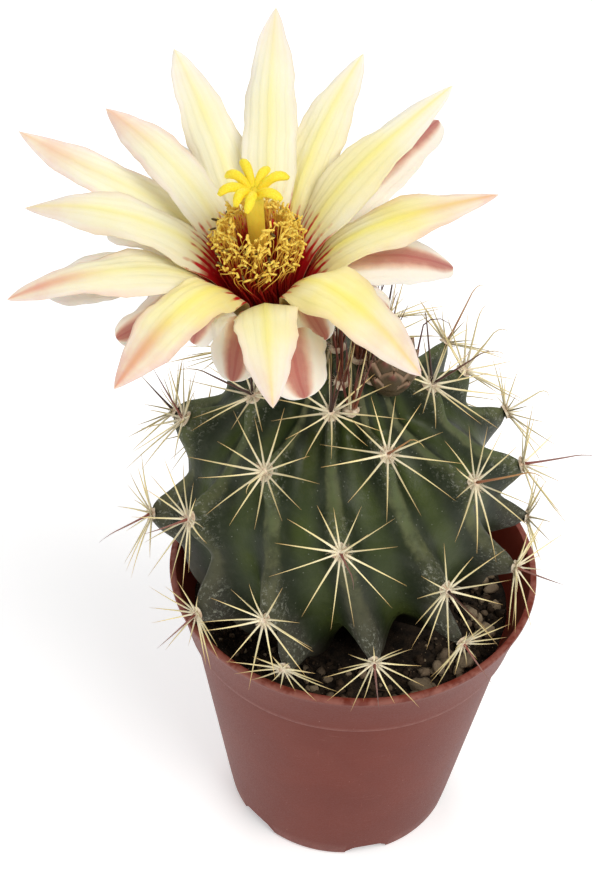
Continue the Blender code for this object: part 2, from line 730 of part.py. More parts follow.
def build_stamens(material):
    """The tuft of stamens, as one ring with a way through it for the style."""
    steps = 16
    axis = flower_axes()[2]
    centre = flower_centre()
    floor = -MOUTH_DROP - CUP_DEPTH + GAP
    inner = STYLE_RADIUS + 1.5 * GAP
    profile = (
        (CUP_FLOOR_RADIUS - GAP, floor),
        (CUP_RADIUS - 2.5 * GAP, -MOUTH_DROP),
        (UPPER_RING_RADIUS - 4 * GAP, STAMEN_THROAT_HEIGHT),
        (STAMEN_RADIUS * 0.78, STAMEN_SHOULDER_HEIGHT),
        (STAMEN_RADIUS, STAMEN_HEIGHT * 0.68),
        (STAMEN_RADIUS * 0.8, STAMEN_HEIGHT * 0.94),
        (STAMEN_RADIUS * 0.5, STAMEN_HEIGHT),
        (inner, STAMEN_HEIGHT * 0.9),
        (inner, floor),
    )
    rings = [ring_across(centre + axis * height, axis, radius, steps) for radius, height in profile]
    points = [p for ring in rings for p in ring]
    faces = []
    for level in range(len(rings)):
        faces += ring_faces(level * steps, (level + 1) % len(rings) * steps, steps)
    make_solid("stamens", points, faces, material, 50.0)


def build_style(material):
    """A thick rod whose top edge is drawn out into curved stigma lobes."""
    sides = 2 * STIGMA_LOBES
    axis = flower_axes()[2]
    centre = flower_centre()
    floor = -MOUTH_DROP - CUP_DEPTH + GAP
    low, high = STYLE_HEIGHT - STIGMA_THICKNESS / 2, STYLE_HEIGHT + STIGMA_THICKNESS / 2
    levels = ((STYLE_RADIUS, floor), (STYLE_RADIUS, STAMEN_HEIGHT), (STIGMA_HUB_RADIUS, low))
    rings = [ring_across(centre + axis * height, axis, radius, sides) for radius, height in levels]
    rings.append(ring_across(centre + axis * high, axis, STIGMA_HUB_RADIUS, sides))
    points, faces = stacked(rings, top=centre + axis * (high + STIGMA_CROWN_RISE))
    waist = 2 * sides
    lobed = {(waist + i, waist + (i + 1) % sides) for i in range(0, sides, 2)}
    kept = []
    for face in faces:
        if (face[0], face[1]) not in lobed:
            kept.append(face)
            continue
        root = list(face)
        out = (sum((points[i] for i in face), Vector()) / 4 - centre)
        out = (out - axis * out.dot(axis)).normalized()
        for share, lift, width in STIGMA_LOBE:
            tip = centre + out * (STYLE_RADIUS + STIGMA_REACH * share) + axis * (STYLE_HEIGHT + lift * MM)
            middle = sum((points[i] for i in face), Vector()) / 4
            ring = []
            for i in face:
                points.append(tip + (points[i] - middle) * width)
                ring.append(len(points) - 1)
            for k in range(4):
                kept.append((root[k], root[(k + 1) % 4], ring[(k + 1) % 4], ring[k]))
            root = ring
        kept.append(tuple(root))
    make_solid("style", points, kept, material, 50.0)


def build_bud(material):
    """A closed, pointed bud that stands on the skin beside the flower."""
    steps = 12
    foot = crown_point(BUD_OFFSET)
    rings = []
    for at, width in BUD_PROFILE:
        rings.append(ring_across(foot + BUD_LEAN * (BUD_LENGTH * at), BUD_LEAN, BUD_RADIUS * width, steps))
    rings[0] = seated(rings[0], foot, BUD_FOOT_BULGE)
    points, faces = stacked(rings, bottom=foot, top=foot + BUD_LEAN * BUD_LENGTH)
    make_solid("bud", points, faces, material, 50.0)


# Name, azimuth, distance in from the wall, half sizes (mm) and turn
STONES = [
    ("gravel_1", 32, 0.2, (2.3, 1.7, 2.0), 20),
    ("gravel_2", 55, 0.1, (1.9, 1.5, 1.7), 70),
    ("gravel_3", 74, 0.0, (1.7, 1.4, 1.8), 10),
    ("gravel_4", 97, 0.2, (1.6, 1.3, 1.5), 120),
    ("gravel_5", 44, 2.6, (1.4, 1.2, 1.3), 40),
]


def main():
    clear_scene()
    terracotta = make_material("pot_plastic", (0.235, 0.068, 0.048), 0.42)
    skin = make_material("stem_skin", (0.028, 0.062, 0.026), 0.5)
    earth = make_material("soil", (0.02, 0.013, 0.009), 0.95)
    pebble = make_material("gravel", (0.42, 0.32, 0.22), 0.8)
    straw = make_material("spines", (0.66, 0.56, 0.3), 0.5)
    green = make_material("tube", (0.12, 0.14, 0.05), 0.55)
    lemon = make_material("petal_inner", (0.9, 0.84, 0.5), 0.45)
    blush = make_material("petal_outer", (0.66, 0.3, 0.25), 0.5)
    ochre = make_material("stamens", (0.55, 0.3, 0.04), 0.6)
    yellow = make_material("style", (0.85, 0.62, 0.03), 0.45)
    brown = make_material("bud", (0.2, 0.13, 0.07), 0.6)
    build_pot(terracotta)
    build_soil(earth)
    build_stem(skin)
    build_cushions(straw)
    build_tube(green)
    build_petals(lemon, blush)
    build_stamens(ochre)
    build_style(yellow)
    build_bud(brown)
    for name, azimuth, inwards, size, turn in STONES:
        build_stone(name, azimuth, inwards * MM, [s * MM for s in size], turn, pebble)


main()
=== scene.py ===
import math
import random

import bpy
import numpy as np
from mathutils import Matrix, Vector, noise


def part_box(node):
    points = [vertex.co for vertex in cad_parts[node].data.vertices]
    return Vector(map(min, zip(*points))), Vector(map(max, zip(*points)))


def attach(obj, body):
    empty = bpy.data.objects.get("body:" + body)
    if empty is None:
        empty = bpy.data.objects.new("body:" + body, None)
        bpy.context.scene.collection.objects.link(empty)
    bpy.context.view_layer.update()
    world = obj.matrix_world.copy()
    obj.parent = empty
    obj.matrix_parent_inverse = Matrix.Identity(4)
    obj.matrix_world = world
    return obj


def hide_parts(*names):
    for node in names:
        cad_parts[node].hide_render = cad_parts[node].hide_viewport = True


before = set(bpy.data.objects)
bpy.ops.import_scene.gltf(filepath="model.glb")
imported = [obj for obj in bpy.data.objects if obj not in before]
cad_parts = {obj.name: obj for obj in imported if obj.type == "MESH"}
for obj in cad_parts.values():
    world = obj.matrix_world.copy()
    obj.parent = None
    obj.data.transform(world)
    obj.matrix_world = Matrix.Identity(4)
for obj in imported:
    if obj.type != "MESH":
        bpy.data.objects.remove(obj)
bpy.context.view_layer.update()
body = "root"
mm = 0.001
up = np.array([0.0, 0.0, 1.0])
print("frame loaded:", len(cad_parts), "CAD nodes")

# places read from the frame
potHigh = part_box("pot")[1]
potHeight = potHigh.z
rimRadius = potHigh.x
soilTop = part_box("soil")[1].z
stemLow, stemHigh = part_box("stem")


def addObject(name, data):
    made = bpy.data.objects.new(name, data)
    bpy.context.scene.collection.objects.link(made)
    return made


# camera: above the plant, looking down at the front of it
viewpoint = {
    "place": (0.0, -0.165769, 0.219438),
    "right": (0.997026, 0.078019, 0.024959),
    "up": (-0.069680, 0.661086, 0.747065),
    "back": (0.041260, -0.746230, 0.664410),
    "lens": 63.94,
    "sensor": 36.0,
}


def placeCamera():
    data = bpy.data.cameras.new("camera")
    data.lens = viewpoint["lens"]
    data.sensor_width = viewpoint["sensor"]
    data.clip_start = 0.01
    camera = addObject("camera", data)
    turned = Matrix((viewpoint["right"], viewpoint["up"], viewpoint["back"])).transposed().to_4x4()
    camera.matrix_world = Matrix.Translation(viewpoint["place"]) @ turned
    bpy.context.scene.camera = camera


placeCamera()
print("camera placed")


# small mesh helpers: a pile gathers points, faces and per-point values for one piece


def newPile():
    return {"points": [], "faces": [], "slots": [], "values": {}, "count": 0}


def addTo(pile, points, faces, slot=0, **values):
    first = pile["count"]
    pile["points"].append(np.asarray(points, float))
    pile["faces"] += [tuple(first + i for i in face) for face in faces]
    pile["slots"] += [slot] * len(faces)
    size = len(points)
    for key, given in values.items():
        spread = np.broadcast_to(np.asarray(given, float), (size,))
        pile["values"].setdefault(key, []).append((first, spread))
    pile["count"] += size


def makePiece(name, pile, materials, replaced=(), smoothAngle=None):
    mesh = bpy.data.meshes.new(name)
    points = np.concatenate(pile["points"])
    mesh.from_pydata(points.tolist(), [], pile["faces"])
    mesh.polygons.foreach_set("material_index", pile["slots"])
    for key, chunks in pile["values"].items():
        numbers = np.zeros(pile["count"])
        for first, chunk in chunks:
            numbers[first:first + len(chunk)] = chunk
        mesh.attributes.new(key, "FLOAT", "POINT").data.foreach_set("value", numbers)
    for material in materials:
        mesh.materials.append(material)
    mesh.shade_smooth()
    if smoothAngle:
        mesh.set_sharp_from_angle(angle=math.radians(smoothAngle))
    piece = addObject(name, mesh)
    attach(piece, body)
    if replaced:
        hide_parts(*replaced)
    return piece


def unit(vectors):
    vectors = np.asarray(vectors, float)
    return vectors / np.maximum(np.linalg.norm(vectors, axis=-1, keepdims=True), 1e-12)


def gridFaces(rows, columns, closed=True):
    # quads of a grid of points; closed joins the last column to the first
    faces = []
    last = columns if closed else columns - 1
    for row in range(rows - 1):
        for i in range(last):
            j = (i + 1) % columns
            a, b = row * columns, (row + 1) * columns
            faces.append((a + i, a + j, b + j, b + i))
    return faces


def sweep(path, radii, sides, capped=True):
    # a tube along a path; when capped, its first and last rings are closed flat
    path = np.asarray(path, float)
    radii = np.asarray(radii, float)
    tangents = unit(np.gradient(path, axis=0))
    side = np.cross(tangents[0], up if abs(tangents[0][2]) < 0.9 else np.array([1.0, 0.0, 0.0]))
    angles = np.arange(sides) * 2 * math.pi / sides
    rings = []
    for here, along, radius in zip(path, tangents, radii):
        side = unit(side - along * side.dot(along))
        other = np.cross(along, side)
        rings.append(here + radius * (np.outer(np.cos(angles), side) + np.outer(np.sin(angles), other)))
    points = np.concatenate(rings)
    faces = gridFaces(len(path), sides)
    if capped:
        faces.append(tuple(reversed(range(sides))))
        faces.append(tuple(range(len(points) - sides, len(points))))
    return points, faces


def ballPoints(rows, columns):
    # a unit ball as rings with a point at each end
    points = [(0.0, 0.0, -1.0)]
    for row in range(1, rows):
        angle = math.pi * row / rows
        for i in range(columns):
            turn = 2 * math.pi * i / columns
            points.append((math.sin(angle) * math.cos(turn), math.sin(angle) * math.sin(turn),
                           -math.cos(angle)))
    points.append((0.0, 0.0, 1.0))
    faces = [(0, 1 + (i + 1) % columns, 1 + i) for i in range(columns)]
    faces += [tuple(1 + k for k in face) for face in gridFaces(rows - 1, columns)]
    last = len(points) - 1
    lowest = last - columns
    faces += [(lowest + i, lowest + (i + 1) % columns, last) for i in range(columns)]
    return np.array(points), faces


def around(azimuth):
    # level direction at an azimuth in degrees, counted from -Y towards +X
    turn = np.radians(azimuth)
    return np.stack([np.sin(turn), -np.cos(turn), np.zeros_like(turn)], axis=-1)


# shader helpers and the shared node groups


def addNode(tree, kind, **settings):
    made = tree.nodes.new(kind)
    for key, value in settings.items():
        if key in made.inputs:
            made.inputs[key].default_value = value
        else:
            setattr(made, key, value)
    return made


def mathNode(tree, operation, first, second=None, third=None, clamp=False):
    made = tree.nodes.new("ShaderNodeMath")
    made.operation = operation
    made.use_clamp = clamp
    for index, given in enumerate((first, second, third)):
        if isinstance(given, (int, float)):
            made.inputs[index].default_value = given
        elif given is not None:
            tree.links.new(given, made.inputs[index])
    return made.outputs[0]


def times(tree, first, second, clamp=False):
    return mathNode(tree, "MULTIPLY", first, second, clamp=clamp)


def linear(tree, value, slope, base, clamp=False):
    return mathNode(tree, "MULTIPLY_ADD", value, slope, base, clamp)


def mixColour(tree, factor, first, second, blend="MIX"):
    made = tree.nodes.new("ShaderNodeMix")
    made.data_type = "RGBA"
    made.blend_type = blend
    made.clamp_factor = True
    for socket, given in ((made.inputs[0], factor), (made.inputs[6], first), (made.inputs[7], second)):
        if isinstance(given, (int, float)):
            socket.default_value = given
        elif isinstance(given, tuple):
            socket.default_value = (*given, 1.0)
        else:
            tree.links.new(given, socket)
    return made.outputs[2]


def stepBetween(tree, value, low, high):
    # 0 at low and 1 at high, with a soft start and end
    made = tree.nodes.new("ShaderNodeMapRange")
    made.interpolation_type = "SMOOTHSTEP"
    made.inputs["From Min"].default_value = low
    made.inputs["From Max"].default_value = high
    tree.links.new(value, made.inputs["Value"])
    return made.outputs["Result"]


def noiseValue(tree, scale, detail=3.0, roughness=0.55, stretch=None):
    # noise over the object's own coordinates, in features per metre
    where = tree.nodes.new("ShaderNodeTexCoord").outputs["Object"]
    if stretch:
        mapping = addNode(tree, "ShaderNodeMapping")
        mapping.inputs["Scale"].default_value = stretch
        tree.links.new(where, mapping.inputs["Vector"])
        where = mapping.outputs["Vector"]
    made = addNode(tree, "ShaderNodeTexNoise", Detail=detail, Roughness=roughness)
    tree.links.new(where, made.inputs["Vector"])
    if isinstance(scale, (int, float)):
        made.inputs["Scale"].default_value = scale
    else:
        tree.links.new(scale, made.inputs["Scale"])
    return made.outputs["Fac"]


def attributeValue(tree, name):
    return addNode(tree, "ShaderNodeAttribute", attribute_name=name).outputs["Fac"]


def newGroup(name, inputs, outputs):
    group = bpy.data.node_groups.new(name, "ShaderNodeTree")
    for label, kind, value in inputs:
        socket = group.interface.new_socket(label, in_out="INPUT", socket_type=kind)
        socket.default_value = value
    for label, kind in outputs:
        group.interface.new_socket(label, in_out="OUTPUT", socket_type=kind)
    given = group.nodes.new("NodeGroupInput").outputs
    result = group.nodes.new("NodeGroupOutput").inputs
    return group, given, result


def placeGroup(tree, group, **settings):
    made = tree.nodes.new("ShaderNodeGroup")
    made.node_tree = group
    for key, value in settings.items():
        socket = made.inputs[key]
        if isinstance(value, (int, float)):
            socket.default_value = value
        elif isinstance(value, tuple):
            socket.default_value = (*value, 1.0)
        else:
            tree.links.new(value, socket)
    return made.outputs


colourKind = "NodeSocketColor"
numberKind = "NodeSocketFloat"


def buildMottle():
    # two sizes of soft blotch over a surface, and a fine grain for its bump
    group, given, result = newGroup(
        "mottle",
        [("BlotchScale", numberKind, 200.0), ("GrainScale", numberKind, 2500.0),
         ("GrainShare", numberKind, 0.5)],
        [("Blotch", numberKind), ("Grain", numberKind), ("Height", numberKind)])
    blotch = noiseValue(group, given["BlotchScale"], 4.0)
    grain = noiseValue(group, given["GrainScale"], 3.0, 0.6)
    group.links.new(stepBetween(group, blotch, 0.32, 0.68), result["Blotch"])
    group.links.new(stepBetween(group, grain, 0.3, 0.7), result["Grain"])
    fine = times(group, grain, given["GrainShare"])
    group.links.new(mathNode(group, "ADD", blotch, fine), result["Height"])
    return group


def buildDust():
    # pale dust that gathers in patches and on what faces up
    group, given, result = newGroup(
        "dust",
        [("Colour", colourKind, (1, 1, 1, 1)), ("DustColour", colourKind, (0.5, 0.4, 0.3, 1)),
         ("Amount", numberKind, 0.3), ("PatchScale", numberKind, 300.0), ("Upward", numberKind, 0.5)],
        [("Colour", colourKind), ("Mask", numberKind)])
    normal = group.nodes.new("ShaderNodeNewGeometry").outputs["Normal"]
    parts = group.nodes.new("ShaderNodeSeparateXYZ")
    group.links.new(normal, parts.inputs[0])
    facingUp = stepBetween(group, parts.outputs["Z"], -0.2, 1.0)
    patches = stepBetween(group, noiseValue(group, given["PatchScale"], 6.0, 0.7), 0.42, 0.78)
    lift = linear(group, facingUp, given["Upward"], 0.35)
    mask = times(group, times(group, patches, lift), given["Amount"], clamp=True)
    group.links.new(mixColour(group, mask, given["Colour"], given["DustColour"]), result["Colour"])
    group.links.new(mask, result["Mask"])
    return group


def buildFlecks():
    # small scattered specks
    group, given, result = newGroup(
        "flecks",
        [("Scale", numberKind, 1500.0), ("Size", numberKind, 0.12), ("Share", numberKind, 0.3)],
        [("Mask", numberKind)])
    where = group.nodes.new("ShaderNodeTexCoord").outputs["Object"]
    cells = addNode(group, "ShaderNodeTexVoronoi", feature="F1")
    group.links.new(where, cells.inputs["Vector"])
    group.links.new(given["Scale"], cells.inputs["Scale"])
    dots = mathNode(group, "LESS_THAN", cells.outputs["Distance"], given["Size"])
    pick = group.nodes.new("ShaderNodeSeparateColor")
    group.links.new(cells.outputs["Color"], pick.inputs[0])
    chosen = mathNode(group, "LESS_THAN", pick.outputs[0], given["Share"])
    group.links.new(times(group, dots, chosen), result["Mask"])
    return group


def buildVeins():
    # fine lengthwise lines of a petal, from its own across and along values
    group, given, result = newGroup(
        "veins",
        [("Across", numberKind, 0.0), ("Along", numberKind, 0.0), ("Lines", numberKind, 9.0)],
        [("Line", numberKind), ("Height", numberKind)])
    wander = times(group, noiseValue(group, 350.0, 2.0), 0.12)
    spread = mathNode(group, "ADD", given["Across"], wander)
    wave = mathNode(group, "SINE", times(group, spread, times(group, given["Lines"], math.pi)))
    line = stepBetween(group, wave, -0.4, 1.0)
    group.links.new(line, result["Line"])
    grain = times(group, noiseValue(group, 5000.0, 2.0), 0.5)
    fade = stepBetween(group, given["Along"], 1.0, 0.7)
    group.links.new(mathNode(group, "ADD", times(group, line, fade), grain), result["Height"])
    return group


mottle = buildMottle()
dust = buildDust()
flecks = buildFlecks()
veins = buildVeins()


def newMaterial(name, **fixed):
    # a material with its shader; fixed values are set on the shader's own sockets
    made = bpy.data.materials.new(name)
    made.use_nodes = True
    tree = made.node_tree
    shader = tree.nodes["Principled BSDF"]
    for key, value in fixed.items():
        shader.inputs[key.replace("_", " ")].default_value = value
    return made, tree, shader


def setSurface(tree, shader, colour, roughness):
    tree.links.new(colour, shader.inputs["Base Color"])
    tree.links.new(roughness, shader.inputs["Roughness"])


def addBump(tree, shader, height, distance, strength=1.0):
    bump = addNode(tree, "ShaderNodeBump", Strength=strength, Distance=distance)
    tree.links.new(height, bump.inputs["Height"])
    tree.links.new(bump.outputs["Normal"], shader.inputs["Normal"])


potFinish = {
    "colour": (0.160, 0.027, 0.014),
    "deepColour": (0.144, 0.023, 0.012),
    "dustColour": (0.36, 0.17, 0.13),
    "scuffColour": (0.34, 0.13, 0.095),
    # the inside colour is painted light shining through the thin wall
    "insideGlowColour": (0.22, 0.032, 0.017),
    # the paler edge colour is a painted highlight on the lip and the collar's edge
    "edgeHighlightColour": (0.50, 0.22, 0.17),
}


def makePotPlastic():
    made, tree, shader = newMaterial("potPlastic", Specular_IOR_Level=0.17)
    spots = placeGroup(tree, mottle, BlotchScale=90.0, GrainScale=3800.0, GrainShare=0.7)
    colour = mixColour(tree, spots["Blotch"], potFinish["colour"], potFinish["deepColour"])
    # the inner face is painted a brighter red: painted light shining through the thin wall
    inside = attributeValue(tree, "inside")
    colour = mixColour(tree, inside, colour, potFinish["insideGlowColour"])
    # hair scratches run level around the wall, and a few cross them
    level = stepBetween(tree, noiseValue(tree, 260.0, 5.0, 0.7, (1.0, 1.0, 14.0)), 0.61, 0.70)
    crossed = stepBetween(tree, noiseValue(tree, 420.0, 4.0, 0.7, (5.0, 1.0, 0.35)), 0.66, 0.74)
    patch = stepBetween(tree, noiseValue(tree, 60.0, 2.0), 0.45, 0.62)
    scuffs = times(tree, mathNode(tree, "MAXIMUM", level, crossed), patch)
    colour = mixColour(tree, times(tree, scuffs, 0.30), colour, potFinish["scuffColour"])
    specks = placeGroup(tree, flecks, Scale=620.0, Size=0.07, Share=0.35)["Mask"]
    colour = mixColour(tree, times(tree, specks, 0.45), colour, potFinish["dustColour"])
    film = placeGroup(tree, dust, Colour=colour, DustColour=potFinish["dustColour"], Amount=0.11,
                      PatchScale=130.0, Upward=0.4)
    # the lip and the collar's edge are painted paler: a painted highlight along them
    highlightEdgeMask = attributeValue(tree, "edge")
    edgeHighlight = times(tree, highlightEdgeMask, stepBetween(tree, noiseValue(tree, 700.0, 3.0), 0.3, 0.6))
    colour = mixColour(tree, times(tree, edgeHighlight, 0.35), film["Colour"], potFinish["edgeHighlightColour"])
    tree.links.new(colour, shader.inputs["Base Color"])
    rough = linear(tree, spots["Grain"], 0.10, 0.40)
    rough = linear(tree, scuffs, 0.15, rough)
    tree.links.new(linear(tree, film["Mask"], 0.3, rough), shader.inputs["Roughness"])
    addBump(tree, shader, mathNode(tree, "ADD", spots["Height"], times(tree, scuffs, -0.4)), 0.00006, 0.5)
    return made


skinFinish = {
    "face": (0.016, 0.023, 0.0045),
    # the furrow colour is a painted highlight: the furrows are painted a lighter green than the rib faces
    "furrow": (0.050, 0.070, 0.010),
    "mottle": (0.010, 0.019, 0.0075),
    "light": (0.085, 0.115, 0.040),
    "ridge": (0.135, 0.140, 0.062),
    "cork": (0.042, 0.036, 0.029),
    "scar": (0.36, 0.37, 0.29),
    "dust": (0.16, 0.17, 0.12),
}


def makeStemSkin():
    made, tree, shader = newMaterial("stemSkin", Specular_IOR_Level=0.28)
    ridge = attributeValue(tree, "ridge")
    chin = attributeValue(tree, "chin")
    low = attributeValue(tree, "low")
    stripe = attributeValue(tree, "stripe")
    spots = placeGroup(tree, mottle, BlotchScale=140.0, GrainScale=2200.0, GrainShare=0.4)
    # the furrows get the lighter furrow colour, a painted highlight in each furrow
    colour = mixColour(tree, stepBetween(tree, ridge, -0.10, 0.42), skinFinish["furrow"], skinFinish["face"])
    colour = mixColour(tree, times(tree, spots["Blotch"], 0.45), colour, skinFinish["mottle"])
    # each ridge carries a grey bloom in patches
    wobble = linear(tree, noiseValue(tree, 330.0, 5.0, 0.7), 0.5, -0.25)
    onRidge = stepBetween(tree, mathNode(tree, "ADD", ridge, wobble), 0.60, 0.86)
    bloomNoise = stepBetween(tree, noiseValue(tree, 420.0, 5.0, 0.65), 0.30, 0.66)
    bloom = times(tree, onRidge, linear(tree, bloomNoise, 0.75, 0.25))
    colour = mixColour(tree, times(tree, bloom, 0.80), colour, skinFinish["ridge"])
    colour = mixColour(tree, times(tree, stripe, linear(tree, bloomNoise, 0.5, 0.3)), colour,
                       skinFinish["light"])
    # towards the soil the ridges turn to grey cork
    corkMask = times(tree, stepBetween(tree, ridge, 0.30, 0.80), low)
    corkMask = times(tree, corkMask, linear(tree, bloomNoise, 0.4, 0.6))
    colour = mixColour(tree, times(tree, corkMask, 0.90), colour, skinFinish["cork"])
    # pale scars and scurf beside the cushions
    scurf = stepBetween(tree, noiseValue(tree, 1500.0, 6.0, 0.8), 0.52, 0.62)
    near = times(tree, stepBetween(tree, chin, 0.10, 0.85), stepBetween(tree, ridge, 0.40, 0.80))
    scars = times(tree, scurf, near)
    colour = mixColour(tree, times(tree, scars, 0.75), colour, skinFinish["scar"])
    tiny = placeGroup(tree, flecks, Scale=1500.0, Size=0.13, Share=0.32)["Mask"]
    colour = mixColour(tree, times(tree, tiny, 0.34), colour, skinFinish["scar"])
    film = placeGroup(tree, dust, Colour=colour, DustColour=skinFinish["dust"], Amount=0.20, PatchScale=520.0,
                      Upward=0.5)
    tree.links.new(film["Colour"], shader.inputs["Base Color"])
    rough = linear(tree, spots["Blotch"], 0.12, 0.43)
    rough = linear(tree, bloom, 0.22, rough)
    tree.links.new(linear(tree, scars, 0.25, rough, clamp=True), shader.inputs["Roughness"])
    height = linear(tree, scars, 0.8, spots["Height"])
    wrinkles = noiseValue(tree, 900.0, 4.0, 0.6, (1.0, 1.0, 0.35))
    addBump(tree, shader, linear(tree, wrinkles, 0.8, height), 0.00016, 0.6)
    return made


# colour at the base, the middle and the tip of each kind of spine, and its roughness
spineFinish = {
    "spineStraw": ((0.93, 0.85, 0.62), (0.90, 0.76, 0.38), (0.66, 0.42, 0.14), 0.42),
    "spineDark": ((0.055, 0.020, 0.015), (0.13, 0.045, 0.022), (0.62, 0.42, 0.12), 0.38),
    "spineBrown": ((0.24, 0.085, 0.035), (0.42, 0.21, 0.07), (0.66, 0.48, 0.18), 0.42),
    "spinePink": ((0.26, 0.075, 0.055), (0.30, 0.14, 0.11), (0.24, 0.13, 0.10), 0.45),
    "spineYoung": ((0.30, 0.090, 0.045), (0.16, 0.035, 0.022), (0.11, 0.030, 0.022), 0.38),
}


def makeSpineMaterial(name, baseColour, midColour, tipColour, roughness):
    # a horny spine: colour runs from its base to its tip, and each spine has its own tone
    made, tree, shader = newMaterial(name, Specular_IOR_Level=0.5)
    along = attributeValue(tree, "along")
    tone = attributeValue(tree, "tone")
    colour = mixColour(tree, stepBetween(tree, along, 0.05, 0.5), baseColour, midColour)
    colour = mixColour(tree, stepBetween(tree, along, 0.55, 1.0), colour, tipColour)
    shade = linear(tree, tone, 0.5, 0.65)
    bands = linear(tree, noiseValue(tree, 1600.0, 3.0), 0.25, 0.87)
    factor = times(tree, shade, bands)
    grey = tree.nodes.new("ShaderNodeCombineColor")
    for socket in grey.inputs:
        tree.links.new(factor, socket)
    tree.links.new(mixColour(tree, 1.0, colour, grey.outputs[0], "MULTIPLY"), shader.inputs["Base Color"])
    grain = noiseValue(tree, 4200.0, 2.0)
    tree.links.new(linear(tree, grain, 0.2, roughness - 0.1), shader.inputs["Roughness"])
    addBump(tree, shader, grain, 0.00004, 0.4)
    return made


woolFinish = {
    "deep": (0.70, 0.52, 0.36),
    "pale": (0.90, 0.80, 0.62),
    "rust": (0.58, 0.30, 0.20),
}


def makeWool():
    made, tree, shader = newMaterial("cushionWool", Specular_IOR_Level=0.2, Sheen_Weight=0.3,
                                     Sheen_Roughness=0.5)
    tone = attributeValue(tree, "tone")
    clumps = noiseValue(tree, 1500.0, 4.0)
    colour = mixColour(tree, stepBetween(tree, clumps, 0.35, 0.65), woolFinish["deep"], woolFinish["pale"])
    colour = mixColour(tree, stepBetween(tree, tone, 0.62, 1.0), colour, woolFinish["rust"])
    setSurface(tree, shader, colour, linear(tree, clumps, 0.2, 0.72))
    addBump(tree, shader, clumps, 0.0002, 0.7)
    return made


def noiseShift(tree, amount):
    # how far the crimson of a throat wanders up the petal
    return times(tree, noiseValue(tree, 500.0, 2.0), amount)


petalFinish = {
    "cream": (0.95, 0.92, 0.70),
    "edge": (0.95, 0.92, 0.80),
    "gold": (0.93, 0.78, 0.24),
    "midline": (0.93, 0.82, 0.14),
    "deepYellow": (0.86, 0.72, 0.22),
    "blush": (0.80, 0.36, 0.31),
    "tipLine": (0.74, 0.24, 0.22),
    "crimson": (0.56, 0.010, 0.016),
}


def makeInnerPetal():
    made, tree, shader = newMaterial("petalLemon", Specular_IOR_Level=0.28, Subsurface_Scale=0.0015)
    shader.inputs["Subsurface Weight"].default_value = 0.22
    shader.inputs["Subsurface Radius"].default_value = (1.0, 0.75, 0.35)
    across = attributeValue(tree, "across")
    along = attributeValue(tree, "along")
    blush = attributeValue(tree, "blush")
    gold = attributeValue(tree, "gold")
    lines = placeGroup(tree, veins, Across=across, Along=along, Lines=6.0)
    offCentre = mathNode(tree, "ABSOLUTE", across)
    colour = mixColour(tree, stepBetween(tree, offCentre, 0.35, 1.0), petalFinish["cream"],
                       petalFinish["edge"])
    washed = stepBetween(tree, noiseValue(tree, 130.0, 3.0), 0.25, 0.65)
    wash = times(tree, gold, linear(tree, washed, 0.55, 0.45))
    colour = mixColour(tree, times(tree, wash, stepBetween(tree, along, 1.0, 0.72)), colour,
                       petalFinish["gold"])
    nearThroat = times(tree, stepBetween(tree, along, 0.60, 0.22), 0.42)
    colour = mixColour(tree, nearThroat, colour, petalFinish["deepYellow"])
    midline = times(tree, stepBetween(tree, offCentre, 0.34, 0.0), linear(tree, gold, 0.85, 0.12))
    patchy = linear(tree, noiseValue(tree, 160.0, 3.0), 0.7, 0.5)
    colour = mixColour(tree, times(tree, midline, times(tree, patchy, 0.85)), colour, petalFinish["midline"])
    colour = mixColour(tree, times(tree, lines["Line"], 0.09), colour, petalFinish["deepYellow"])
    # pink breath along the outer edges and at the tip
    towardsTip = stepBetween(tree, along, 0.78, 0.98)
    towardsEdge = times(tree, stepBetween(tree, offCentre, 0.62, 1.0), stepBetween(tree, along, 0.45, 0.85))
    cloud = stepBetween(tree, noiseValue(tree, 240.0, 4.0), 0.32, 0.62)
    tinge = mathNode(tree, "MAXIMUM", towardsTip, times(tree, towardsEdge, 0.75))
    tinge = times(tree, times(tree, tinge, blush), linear(tree, cloud, 0.5, 0.5))
    colour = mixColour(tree, tinge, colour, petalFinish["blush"])
    tipLine = times(tree, stepBetween(tree, offCentre, 0.50, 0.05), stepBetween(tree, along, 0.70, 0.92))
    tipLine = times(tree, tipLine, stepBetween(tree, blush, 0.45, 0.90))
    colour = mixColour(tree, times(tree, tipLine, 0.75), colour, petalFinish["tipLine"])
    # crimson throat that runs up in streaks
    streak = linear(tree, lines["Line"], 0.10, noiseShift(tree, 0.22))
    reach = mathNode(tree, "SUBTRACT", along, streak)
    upperSide = mathNode(tree, "SUBTRACT", 1.0, attributeValue(tree, "back"))
    throat = times(tree, stepBetween(tree, reach, 0.265, 0.165), upperSide)
    colour = mixColour(tree, throat, colour, petalFinish["crimson"])
    setSurface(tree, shader, colour, linear(tree, lines["Height"], 0.10, 0.42))
    addBump(tree, shader, lines["Height"], 0.00012, 0.5)
    return made


outerFinish = {
    "edge": (0.90, 0.84, 0.76),
    "flesh": (0.82, 0.60, 0.46),
    "stripe": (0.38, 0.085, 0.080),
    "green": (0.66, 0.56, 0.24),
    "crimson": (0.40, 0.012, 0.014),
    "foot": (0.16, 0.145, 0.050),
}


